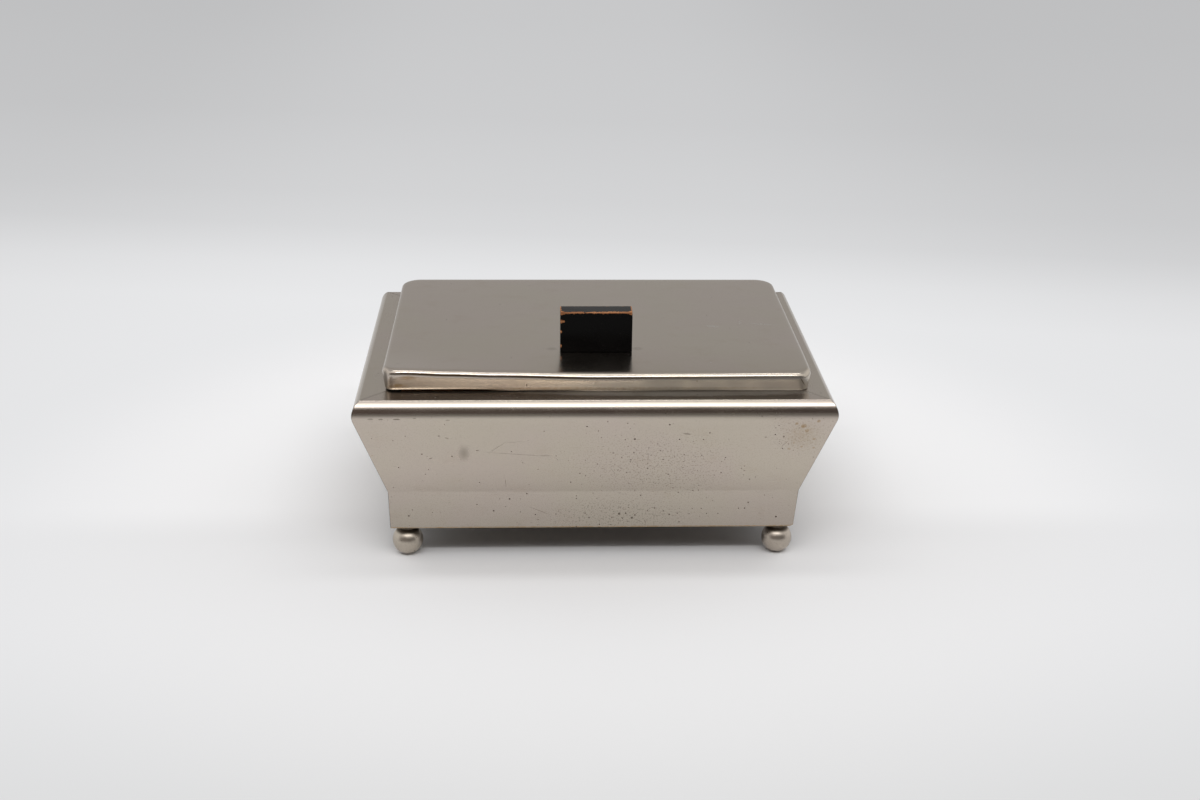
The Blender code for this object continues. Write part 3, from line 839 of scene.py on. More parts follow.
@dataclass(frozen=True)
class EbonisedWood(Finish):
    """Black lacquer on wood, worn to the bare wood along the upper edges and chipped on the upright ones.

    Attributes:
        low: The block's lowest corner, in metres.
        high: Its highest corner.
        chips: Chips along the front left upright edge: height and how far each reaches, in millimetres.
    """

    low: Point = (0.0, 0.0, 0.0)
    high: Point = (0.0, 0.0, 0.0)
    chips: tuple[tuple[float, float], ...] = ()

    LACQUER = (0.0032, 0.0030, 0.0030)
    BARE = (0.50, 0.235, 0.105)
    STAINED = (0.17, 0.060, 0.024)
    DUST = (0.30, 0.28, 0.26)
    REAR_REACH = 0.22 * MM
    SIDE_REACH = 0.34 * MM
    UPRIGHT_REACH = 0.02 * MM
    FRAYED = 0.9 * MM
    BORDER = 0.05 * MM
    RELIEF = 0.05 * MM

    def paint(self, g: Graph) -> None:
        """Draws lacquer, bare edges, chips and dust.

        Args:
            g: The graph to draw in.
        """
        place = self.place(g, Surface.ALL_ROUND)
        x, y, z = g.parts(place)
        left, right = x - self.low[0], self.high[0] - x
        front, rear = y - self.low[1], self.high[1] - y
        top = self.high[2] - z
        to_end = left.least(right)
        reach = to_end.ramp(0.3 * MM, 1.6 * MM, 0.90 * MM, 0.36 * MM)
        chipped: Wire | float = -0.04 * MM
        for up, size in self.chips:
            nearness = abs(z - (self.low[2] + up * MM)).ramp(0.75 * MM, 0.25 * MM)
            chipped = chipped + nearness * (size * 2.6 * MM)
        bare = self.bared(g, place, (
            (top + front * 0.55, reach),
            (top + rear, self.REAR_REACH),
            (top + to_end, self.SIDE_REACH),
            (left + front, chipped),
            (right + front, self.UPRIGHT_REACH),
        ))

        fibre = g.grain(place, (70.0, 1300.0, 1300.0), 3.0, 0.6)
        wood = g.mix(fibre.ramp(0.30, 0.70), self.STAINED, self.BARE)
        tone = g.mix(bare, self.LACQUER, wood)
        dust = g.grain(place, 2600.0, 2.0).ramp(0.74, 0.78, 0.0, 0.25)
        tone = g.mix(dust, tone, self.DUST)
        smear = g.grain(place, (120.0, 300.0, 160.0), 3.0)
        rough = smear.ramp(0.3, 0.7, 0.22, 0.34) + bare * 0.30
        normal = self.relief(g, fibre * 0.25 - bare * 0.9, self.RELIEF, 0.7)
        constants = {"Metallic": 0.0, "Specular IOR Level": 0.12}
        self.shade(g, constants, Base_Color=tone, Roughness=rough, Normal=normal)

    def bared(self, g: Graph, place: Wire, edges: Iterable[tuple[Wire, Wire | float]]) -> Wire:
        """Where the lacquer is gone near the edges, along a frayed line.

        Args:
            g: The graph to draw in.
            place: Where the surface is, in metres.
            edges: How far the place is from each edge and how far the wear reaches there, in metres.

        Returns:
            1 where the wood is bare.
        """
        ragged = g.grain(place, 1500.0, 4.0, 0.65) - 0.5
        uneven = g.grain(place, 330.0, 2.0) - 0.5
        frayed = ragged * self.FRAYED + uneven * self.FRAYED
        bare = [(away - reach + frayed).ramp(self.BORDER, -self.BORDER) for away, reach in edges]
        strongest = bare[0]
        for other in bare[1:]:
            strongest = strongest.most(other)
        return strongest


# Meshes


def link(name: str, mesh: bpy.types.Mesh) -> bpy.types.Object:
    """Puts a mesh into the scene.

    Args:
        name: The object's name.
        mesh: The mesh.

    Returns:
        The object.
    """
    obj = bpy.data.objects.new(name, mesh)
    bpy.context.scene.collection.objects.link(obj)
    return obj


def mesh_from(
    name: str, points: Sequence[Sequence[float]], faces: Sequence[Sequence[int]]
) -> bpy.types.Mesh:
    """Makes a mesh of points and faces.

    Args:
        name: The mesh's name.
        points: Its points.
        faces: The numbers of each face's points.

    Returns:
        The mesh.
    """
    mesh = bpy.data.meshes.new(name)
    mesh.from_pydata([tuple(p) for p in points], [], [tuple(f) for f in faces])
    return mesh


def tidied(mesh: bpy.types.Mesh, angle: float = SMOOTH_ANGLE) -> bpy.types.Mesh:
    """Merges doubles, turns the faces outwards and shades smoothly up to an angle.

    Args:
        mesh: A closed mesh.
        angle: Edges sharper than this stay sharp.

    Returns:
        The same mesh.
    """
    bm = bmesh.new()
    bm.from_mesh(mesh)
    bmesh.ops.remove_doubles(bm, verts=bm.verts, dist=MERGE_DISTANCE)
    bmesh.ops.dissolve_degenerate(bm, edges=bm.edges, dist=MERGE_DISTANCE)
    bmesh.ops.recalc_face_normals(bm, faces=bm.faces)
    bm.to_mesh(mesh)
    bm.free()
    mesh.shade_smooth()
    mesh.set_sharp_from_angle(angle=angle)
    return mesh


def evaluated(obj: bpy.types.Object) -> bpy.types.Mesh:
    """Runs an object's modifiers.

    Args:
        obj: The object.

    Returns:
        The plain mesh that they make.
    """
    graph = bpy.context.evaluated_depsgraph_get()
    done = obj.evaluated_get(graph)
    return bpy.data.meshes.new_from_object(done, preserve_all_data_layers=True, depsgraph=graph)


def turned(outline: Sequence[tuple[float, float]], steps: int) -> tuple[list[Point], list[tuple[int, ...]]]:
    """A round shape about the Z axis.

    Args:
        outline: Its (r, z) outline, which closes if both ends are on the axis or are the same.
        steps: How many faces go round it.

    Returns:
        Its points and faces.
    """
    points: list[Point] = []
    rings: list[list[int]] = []
    for r, z in outline:
        if r < MERGE_DISTANCE:
            points.append((0.0, 0.0, z))
            rings.append([len(points) - 1] * steps)
            continue
        rings.append(list(range(len(points), len(points) + steps)))
        angles = (math.tau * i / steps for i in range(steps))
        points += [(r * math.cos(a), r * math.sin(a), z) for a in angles]
    faces: list[tuple[int, ...]] = []
    for low, high in zip(rings, rings[1:]):
        for i in range(steps):
            j = (i + 1) % steps
            corners = dict.fromkeys((low[i], low[j], high[j], high[i]))
            if len(corners) > 2:
                faces.append(tuple(corners))
    return points, faces


def box(name: str, low: Point, high: Point) -> bpy.types.Mesh:
    """Makes a plain box.

    Args:
        name: The mesh's name.
        low: Its lowest corner.
        high: Its highest corner.

    Returns:
        The box.
    """
    bm = bmesh.new()
    bmesh.ops.create_cube(bm, size=1)
    bmesh.ops.scale(bm, vec=Vector(high) - Vector(low), verts=bm.verts)
    bmesh.ops.translate(bm, vec=(Vector(high) + Vector(low)) / 2, verts=bm.verts)
    mesh = bpy.data.meshes.new(name)
    bm.to_mesh(mesh)
    bm.free()
    return mesh


def carved(mesh: bpy.types.Mesh, cutters: Sequence[bpy.types.Mesh]) -> bpy.types.Mesh:
    """Subtracts closed shapes from a closed mesh.

    Args:
        mesh: What is cut.
        cutters: What is cut away.

    Returns:
        A new mesh.
    """
    whole = link("uncut", mesh)
    tools = [link("cutter", cutter) for cutter in cutters]
    for tool in tools:
        modifier = whole.modifiers.new("cut", "BOOLEAN")
        modifier.operation = "DIFFERENCE"
        modifier.solver = "EXACT"
        modifier.object = tool
    result = evaluated(whole)
    for obj in (whole, *tools):
        bpy.data.objects.remove(obj)
    return result


# Geometry trees


class GeometryTree:
    """A geometry tree with named inputs, which is run on a starting mesh to give a plain one."""

    SOCKETS = {
        float: "NodeSocketFloat",
        int: "NodeSocketInt",
        Vector: "NodeSocketVector",
        bpy.types.Material: "NodeSocketMaterial",
    }

    def __init__(self, name: str, inputs: Mapping[str, type]) -> None:
        """Makes the tree with its inputs and output.

        Args:
            name: The tree's name.
            inputs: The type of each named input.
        """
        self.tree = bpy.data.node_groups.new(name, "GeometryNodeTree")
        self.graph = Graph(self.tree)
        face = self.tree.interface
        face.new_socket("Geometry", in_out="INPUT", socket_type="NodeSocketGeometry")
        face.new_socket("Geometry", in_out="OUTPUT", socket_type="NodeSocketGeometry")
        for key, kind in inputs.items():
            face.new_socket(key, in_out="INPUT", socket_type=self.SOCKETS[kind])
        self.inputs = self.graph.node("NodeGroupInput")

    def attribute(self, name: str) -> Wire:
        """The value of a named attribute."""
        return self.graph.node("GeometryNodeInputNamedAttribute", {"data_type": "FLOAT"}, {"Name": name})[0]

    def stored(
        self, geometry: Wire, name: str, value: Wire, kind: str = "FLOAT", domain: str = "POINT"
    ) -> Wire:
        """Keeps a value on a geometry.

        Args:
            geometry: The geometry.
            name: The value's name.
            value: The value.
            kind: Its data type.
            domain: What carries it, such as POINT or CORNER.

        Returns:
            The geometry with the value.
        """
        settings = {"data_type": kind, "domain": domain}
        values = {"Geometry": geometry, "Name": name, "Value": value}
        return self.graph.node("GeometryNodeStoreNamedAttribute", settings, values)[0]

    def end(self, geometry: Wire) -> None:
        """Ends the tree in Realize Instances and Set Material.

        Args:
            geometry: What the tree gives out.
        """
        real = self.graph.node("GeometryNodeRealizeInstances", None, {0: geometry})[0]
        values = {"Geometry": real, "Material": self.inputs["Finish"]}
        dressed = self.graph.node("GeometryNodeSetMaterial", None, values)[0]
        self.graph.node("NodeGroupOutput", None, {0: dressed})

    def run(self, start: bpy.types.Mesh, values: Mapping[str, Any]) -> bpy.types.Mesh:
        """Runs the tree.

        Args:
            start: The mesh that the tree starts from.
            values: A value for each named input.

        Returns:
            The plain mesh that comes out.
        """
        obj = link("start", start)
        modifier = obj.modifiers.new("tree", "NODES")
        modifier.node_group = self.tree
        for item in self.tree.interface.items_tree:
            if item.item_type == "SOCKET" and item.in_out == "INPUT" and item.name in values:
                modifier[item.identifier] = values[item.name]
        result = evaluated(obj)
        obj.modifiers.remove(modifier)
        bpy.data.objects.remove(obj)
        return result


@dataclass(frozen=True)
class Spread:
    """Where the copies of a piece stand.

    Attributes:
        counts: How many there are along x and y.
        pitches: How far apart they are along x and y.
        centre: The middle of them all.
        most_turn: The furthest that chance turns one, in radians.
        seed: The seed of that chance.
    """

    counts: tuple[int, int]
    pitches: tuple[float, float]
    centre: Point
    most_turn: float
    seed: int


class RepeatTree(GeometryTree):
    """Copies the starting mesh to the points of a level grid, each turned a little by chance."""

    def __init__(self) -> None:
        """Builds the tree."""
        super().__init__(
            "repeat_on_grid",
            {
                "Count X": int,
                "Count Y": int,
                "Pitch X": float,
                "Pitch Y": float,
                "Centre": Vector,
                "Most Turn": float,
                "Seed": int,
                "Finish": bpy.types.Material,
            },
        )
        g, given = self.graph, self.inputs
        row = self.line(given["Count X"], g.joined(given["Pitch X"], 0.0, 0.0))
        column = self.line(given["Count Y"], g.joined(0.0, given["Pitch Y"], 0.0))
        rows = g.node("GeometryNodeInstanceOnPoints", None, {"Points": row, "Instance": column})[0]
        points = g.node("GeometryNodeRealizeInstances", None, {0: rows})[0]
        half_x = (given["Count X"] - 1.0) * given["Pitch X"] * -0.5
        half_y = (given["Count Y"] - 1.0) * given["Pitch Y"] * -0.5
        offset = g.vector("ADD", g.joined(half_x, half_y, 0.0), given["Centre"])
        placed = g.node("GeometryNodeSetPosition", None, {"Geometry": points, "Offset": offset})[0]
        values = {2: given["Most Turn"] * -1.0, 3: given["Most Turn"], "Seed": given["Seed"]}
        chance = g.node("FunctionNodeRandomValue", {"data_type": "FLOAT"}, values)[1]
        values = {"Points": placed, "Instance": given["Geometry"], "Rotation": g.joined(0.0, 0.0, chance)}
        self.end(g.node("GeometryNodeInstanceOnPoints", None, values)[0])

    def line(self, count: Wire, step: Wire) -> Wire:
        """Points in a row from the origin, a step apart."""
        values = {"Count": count, "Start Location": (0.0, 0.0, 0.0), "Offset": step}
        return self.graph.node("GeometryNodeMeshLine", {"mode": "OFFSET"}, values)[0]

    def copies(self, piece: bpy.types.Mesh, finish: Finish, spread: Spread) -> bpy.types.Mesh:
        """Copies a piece.

        Args:
            piece: The piece, which is at the origin.
            finish: The finish of the copies.
            spread: Where they stand.

        Returns:
            All copies as one mesh.
        """
        values = {
            "Count X": spread.counts[0],
            "Count Y": spread.counts[1],
            "Pitch X": spread.pitches[0],
            "Pitch Y": spread.pitches[1],
            "Centre": spread.centre,
            "Most Turn": spread.most_turn,
            "Seed": spread.seed,
            "Finish": finish.material(),
        }
        return tidied(self.run(piece, values))


class PanelTree(GeometryTree):
    """Bends a sheet along an outline, mitres its ends and turns it to its side of the box.

    It starts from the outline's corners, which carry the radius of their bends and the steps in them.
    """

    def __init__(self) -> None:
        """Builds the tree."""
        super().__init__(
            "bent_panel",
            {
                "Half Length": float,
                "Distance": float,
                "Mitre Gap": float,
                "Turn": float,
                "Sections": int,
                "Finish": bpy.types.Material,
            },
        )
        g, given = self.graph, self.inputs
        corners = g.node("GeometryNodeMeshToPoints", None, {"Mesh": given["Geometry"]})[0]
        order = g.node("GeometryNodeInputIndex")[0]
        line = g.node("GeometryNodePointsToCurves", None, {"Points": corners, "Weight": order})[0]
        loop = g.node("GeometryNodeSetSplineCyclic", None, {"Geometry": line, "Cyclic": True})[0]
        values = {"Curve": loop, "Count": self.attribute("steps"), "Radius": self.attribute("bend")}
        values["Limit Radius"] = False
        bent = g.node("GeometryNodeFilletCurve", {"mode": "POLY"}, values)[0]
        spot = g.node("GeometryNodeInputPosition")[0]
        setback, height, _ = g.parts(spot)
        bent = self.stored(bent, "setback", setback)
        bent = self.stored(bent, "height", height)
        bent = self.stored(bent, "up_sheet", g.node("GeometryNodeSplineParameter")["Length"])

        ends = {"Start": (-1.0, 0.0, 0.0), "End": (1.0, 0.0, 0.0)}
        rail = g.node("GeometryNodeCurvePrimitiveLine", None, ends)[0]
        settings = {"mode": "COUNT"}
        rail = g.node("GeometryNodeResampleCurve", settings, {"Curve": rail, "Count": given["Sections"]})[0]
        closer = g.math("SINE", g.parts(spot)[0] * (math.pi / 2))
        rail = self.stored(rail, "share", closer)
        values = {"Curve": rail, "Profile Curve": bent, "Fill Caps": True}
        sheet = g.node("GeometryNodeCurveToMesh", None, values)[0]

        setback, height = self.attribute("setback"), self.attribute("height")
        along = self.attribute("share") * (given["Half Length"] - setback - given["Mitre Gap"])
        at = g.joined(along, setback - given["Distance"], height)
        sheet = g.node("GeometryNodeSetPosition", None, {"Geometry": sheet, "Position": at})[0]
        sheet_place = g.joined(along, self.attribute("up_sheet"), 0.0)
        sheet = self.stored(sheet, "UVMap", sheet_place, "FLOAT2", "CORNER")
        turn = g.joined(0.0, 0.0, given["Turn"])
        self.end(g.node("GeometryNodeTransform", None, {"Geometry": sheet, "Rotation": turn})[0])


# Handing a piece to the frame


def hand_over(obj: bpy.types.Object, body: Body, replaced: Iterable[str]) -> None:
    """Says which body a piece rides on and which nodes it stands for, and hides those nodes.

    Args:
        obj: The finished piece.
        body: The body it moves with.
        replaced: The CAD nodes that it stands for.
    """
    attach(obj, body.value)
    names = list(replaced)
    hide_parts(*names)
    log.info("%s: %d faces on %s for %s", obj.name, len(obj.data.polygons), body.value, ", ".join(names))


def dress(node: str, finish: Finish) -> None:
    """Gives a CAD node its finish.

    Args:
        node: The node, which keeps its own shape.
        finish: The finish.
    """
    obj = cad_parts[node]
    for material_slot in obj.material_slots:
        material_slot.material = finish.material()
    log.info("%s: kept, in %s", node, finish.name)


# The bent sheet walls


@dataclass
class Walls:
    """The four wall panels: skirt, flare, rolled rim, flat border and lip, mitred at the corners."""

    half_width: float = 76.45 * MM
    half_depth: float = 58.30 * MM
    skirt_lean: float = 0.38 * MM
    flare_out: float = 9.65 * MM
    kink_radius: float = 3.0 * MM
    roll_radius: float = 5.15 * MM
    rim_radius: float = 5.75 * MM
    shoulder_radius: float = 0.60 * MM
    shoulder_inner_radius: float = 0.05 * MM
    border_fall: float = math.radians(1.5)
    # Two points on the border that keep it flat between its bends
    border_shares: tuple[float, float] = (0.12, 0.80)
    lip_radius: float = 0.50 * MM
    opening_inset: float = 3.2 * MM
    lip_drop: float = 3.6 * MM
    mitre_gap: float = 0.15 * MM
    kink_steps: int = 8
    roll_steps: int = 24
    shoulder_steps: int = 6
    lip_steps: int = 8
    sections: int = 56
    bump_in: float = 2.2 * MM
    bump_reach: float = 7.0 * MM
    tree: PanelTree = field(default_factory=PanelTree)

    def outline(self) -> tuple[list[Vector], list[float], list[int]]:
        """Works out the sheet's outline, as (setback, height) corners.

        Returns:
            The corners of the closed outline, the radius of each bend and the steps in it.
        """
        sheet, top = STACK.wall_sheet, STACK.border_top
        setback = self.flare_out + self.skirt_lean
        border = setback + sheet + self.opening_inset
        kink = Vector((self.flare_out, STACK.feet_top + STACK.skirt))
        to_roll = Vector((self.roll_radius, top - self.roll_radius)) - kink
        slope = math.atan2(to_roll.y, to_roll.x) + math.asin(self.roll_radius / to_roll.length)
        roll, shoulder, fall = self.rim_radius, self.shoulder_radius, self.border_fall
        lean = math.pi / 2 - slope
        rise = (roll + (kink.x - roll) * math.cos(lean)) / math.sin(lean)
        centre = Vector((roll, kink.y - rise))
        level = Vector((-math.sin(fall), math.cos(fall)))
        rest = (Vector((border, top)) - centre).dot(level) - shoulder
        meet = math.asin(rest / (roll - shoulder)) - fall
        upper = centre + Vector((-math.cos(meet), math.sin(meet))) * (roll - shoulder)
        rim = self.crossing(centre, roll, lean, meet)
        edge = self.crossing(upper, shoulder, meet, math.pi / 2 - fall)
        inside = Vector((border, top))
        near, far = (edge.lerp(inside, share) for share in self.border_shares)
        show = [Vector((setback, STACK.feet_top)), kink, rim, edge, near, far, inside]
        show.append(Vector((border, top - self.lip_drop)))
        outer_radii = [0.0, self.kink_radius, roll, shoulder, 0.0, 0.0, self.lip_radius + sheet, 0.0]
        inner_radii = [0.0, self.kink_radius + sheet, roll - sheet, self.shoulder_inner_radius]
        inner_radii += [0.0, 0.0, self.lip_radius, 0.0]
        steps = [1, self.kink_steps, self.roll_steps, self.shoulder_steps, 1, 1, self.lip_steps, 1]
        return show + self.inside(show)[::-1], outer_radii + inner_radii[::-1], steps + steps[::-1]

    @staticmethod
    def crossing(centre: Vector, radius: float, low: float, high: float) -> Vector:
        """Where the two lines cross that touch a bend at its start and at its end.

        Args:
            centre: The middle of the bend.
            radius: Its radius.
            low: How far the outward direction at its start points above level.
            high: The same at its end.

        Returns:
            The corner that the bend rounds.
        """
        middle, half = (low + high) / 2, (high - low) / 2
        return centre + Vector((-math.cos(middle), math.sin(middle))) * (radius / math.cos(half))

    def inside(self, corners: Sequence[Vector]) -> list[Vector]:
        """The corners of the sheet's inner side.

        Args:
            corners: The corners of its show side.

        Returns:
            The same corners, a sheet's thickness further in.
        """
        moved = []
        for i, corner in enumerate(corners):
            before = (corner - corners[i - 1]).normalized() if i else None
            after = (corners[i + 1] - corner).normalized() if i < len(corners) - 1 else None
            before, after = before or after, after or before
            side = (Vector((before.y, -before.x)) + Vector((after.y, -after.x))).normalized()
            moved.append(corner + side * (STACK.wall_sheet / side.dot(Vector((after.y, -after.x)))))
        return moved

    def corner_mesh(self) -> bpy.types.Mesh:
        """Makes the mesh that a panel's tree starts from.

        Returns:
            The outline's corners as points that carry their bends.
        """
        corners, radii, steps = self.outline()
        mesh = mesh_from("outline", [(c.x, c.y, 0.0) for c in corners], [])
        for name, values in (("bend", radii), ("steps", [float(s) for s in steps])):
            mesh.attributes.new(name, "FLOAT", "POINT").data.foreach_set("value", values)
        return mesh

    def knocked(self, mesh: bpy.types.Mesh) -> None:
        """Pushes in the lower front right corner, which has been knocked round.

        Args:
            mesh: A panel's mesh, which is changed.
        """
        setback = self.flare_out + self.skirt_lean
        edge_x, edge_y = self.half_width - setback, setback - self.half_depth
        for vert in mesh.vertices:
            p = vert.co
            aside, above = edge_x - p.x, p.z - STACK.feet_top
            if aside > self.bump_in or above > self.bump_in:
                continue
            back = min(1.0, max(0.0, (p.y - edge_y) / self.bump_reach))
            fade = (1 - back) ** 2 * (1 + 2 * back)
            to_middle = Vector((self.bump_in - max(aside, 0.0), self.bump_in - max(above, 0.0)))
            size = to_middle.length
            if size < MERGE_DISTANCE:
                continue
            pull = (1 - max(to_middle.x, to_middle.y) / size) * fade
            p.x -= to_middle.x * pull
            p.z += to_middle.y * pull

    def build(self) -> None:
        """Builds and dresses the four panels, and dresses the base plate."""
        sides = (
            ("front", 0.0, self.half_width, self.half_depth, FRONT_NICKEL),
            ("right", math.pi / 2, self.half_depth, self.half_width, SIDE_NICKEL),
            ("rear", math.pi, self.half_width, self.half_depth, SIDE_NICKEL),
            ("left", -math.pi / 2, self.half_depth, self.half_width, SIDE_NICKEL),
        )
        for side, turn, half_length, distance, finish in sides:
            values = {
                "Half Length": half_length,
                "Distance": distance,
                "Mitre Gap": self.mitre_gap / math.sqrt(2),
                "Turn": turn,
                "Sections": self.sections,
                "Finish": finish.material(),
            }
            mesh = self.tree.run(self.corner_mesh(), values)
            for name in ("bend", "steps", "setback", "height", "up_sheet", "share"):
                if name in mesh.attributes:
                    mesh.attributes.remove(mesh.attributes[name])
            tidied(mesh)
            if side in ("front", "right"):
                self.knocked(mesh)
            hand_over(link(f"wall_{side}", mesh), Body.BASE, [f"{side}_panel"])
        dress("base_plate", PLAIN_NICKEL)


# Fasteners


@dataclass(frozen=True)
class Screw:
    """A round-headed screw with a slot, its head's underside at the origin.

    Attributes:
        radius: The shank's radius.
        length: The shank's length.
        head_radius: The head's radius.
        head_height: The head's height.
        slot: The slot's width and depth.
        point_up: Whether the shank points up.
    """

    radius: float
    length: float
    head_radius: float
    head_height: float
    slot: float
    point_up: bool

    TIP_SHARE = 0.8
    POINT_SHARE = 0.2
    CUTTER_SHARE = 1.2
    DOME_STEPS = 10
    ROUND_STEPS = 40

    def mesh(self) -> bpy.types.Mesh:
        """Builds the screw.

        Returns:
            Its mesh.
        """
        dome = [math.radians(90) * i / self.DOME_STEPS for i in range(self.DOME_STEPS + 1)]
        outline = [(0.0, -self.length), (self.radius * self.TIP_SHARE, -self.length)]
        outline += [(self.radius, self.radius * self.POINT_SHARE - self.length), (self.radius, 0.0)]
        outline += [(self.head_radius * math.cos(a), self.head_height * math.sin(a)) for a in dome]
        way = -1 if self.point_up else 1
        shape = turned([(r, z * way) for r, z in outline], self.ROUND_STEPS)
        face, reach = self.head_height * way, self.head_radius * self.CUTTER_SHARE
        low, high = (-reach, -self.slot / 2, face - self.slot), (reach, self.slot / 2, face + self.slot)
        return tidied(carved(tidied(mesh_from("screw", *shape)), [box("slot", low, high)]))


@dataclass(frozen=True)
class Washer:
    """A flat washer with eased edges that stands on the origin.

    Attributes:
        hole: The hole's radius.
        radius: The outer radius.
    """

    hole: float
    radius: float

    EASE_SHARE = 0.2
    ROUND_STEPS = 40

    def mesh(self) -> bpy.types.Mesh:
        """Builds the washer.

        Returns:
            Its mesh.
        """
        thickness = STACK.washer
        ease = thickness * self.EASE_SHARE
        under = [(self.hole, ease), (self.hole + ease, 0.0), (self.radius - ease, 0.0), (self.radius, ease)]
        over = [(r, thickness - z) for r, z in under[::-1]]
        return tidied(mesh_from("washer", *turned(under + over + under[:1], self.ROUND_STEPS)))


# The feet below the floor


@dataclass
class Feet:
    """Four turned ball feet, with the screws and washers that hold them through the base plate."""

    neck_radius: float = 2.6 * MM
    neck_edge: float = 0.15 * MM
    hub_share: float = 0.6
    hole_radius: float = 1.35 * MM
    hole_spare: float = 1.0 * MM
    at_x: float = 61.24 * MM
    at_y: float = 43.09 * MM
    screw: Screw = Screw(1.2 * MM, 7.0 * MM, 2.4 * MM, 1.6 * MM, 0.6 * MM, False)
    washer_radius: float = 2.9 * MM
    arc_steps: int = 36
    round_steps: int = 72
    seed: int = 7

    @property
    def washer_bottom(self) -> float:
        """The height of the washers' undersides."""
        return STACK.plate_top + STACK.fit_gap

    @property
    def screw_seat(self) -> float:
        """The height of the screw heads' undersides."""
        return self.washer_bottom + STACK.washer + STACK.fit_gap

    def ball_mesh(self) -> bpy.types.Mesh:
        """Builds one ball with its worn flat, its neck and its tapped hole.

        Returns:
            Its mesh.
        """
        ball, centre, top = STACK.ball_radius, STACK.ball_centre, STACK.feet_top
        low = -math.acos(STACK.ball_flat / ball)
        high = math.acos(self.neck_radius / ball)
        angles = [low + (high - low) * i / self.arc_steps for i in range(self.arc_steps + 1)]
        outline = [(0.0, 0.0), (STACK.ball_flat * self.hub_share, 0.0)]
        outline += [(ball * math.cos(a), centre + ball * math.sin(a)) for a in angles]
        outline += [(self.neck_radius, top - self.neck_edge), (self.neck_radius - self.neck_edge, top)]
        bottom = self.screw_seat - self.screw.length - self.hole_spare
        outline += [(self.hole_radius, top), (self.hole_radius, bottom), (0.0, bottom)]
        return tidied(mesh_from("ball", *turned(outline, self.round_steps)))

    def build(self, repeat: RepeatTree) -> None:
        """Builds the feet and their fasteners.

        Args:
            repeat: The tree that copies one to all four corners.
        """
        corners = ("front_left", "front_right", "rear_left", "rear_right")
        screw = self.screw.mesh()
        washer = Washer(self.screw.radius + STACK.fit_gap, self.washer_radius).mesh()
        rows = (
            ("ball_feet", "foot", self.ball_mesh(), 0.0, FOOT_NICKEL, Slot.NICKEL, 0.0),
            ("foot_screws", "foot_screw", screw, self.screw_seat, SCREW_STEEL, Slot.STEEL, math.pi),
            ("foot_washers", "foot_washer", washer, self.washer_bottom, BRASS, Slot.BRASS, math.pi),
        )
        for name, node, piece, height, finish, slot, most_turn in rows:
            pitches = (2 * self.at_x, 2 * self.at_y)
            spread = Spread((2, 2), pitches, (0.0, 0.0, height), most_turn, self.seed)
            copies = link(name, repeat.copies(piece, finish, spread))
            hand_over(copies, Body.BASE, [f"{node}_{corner}" for corner in corners])


# The lid


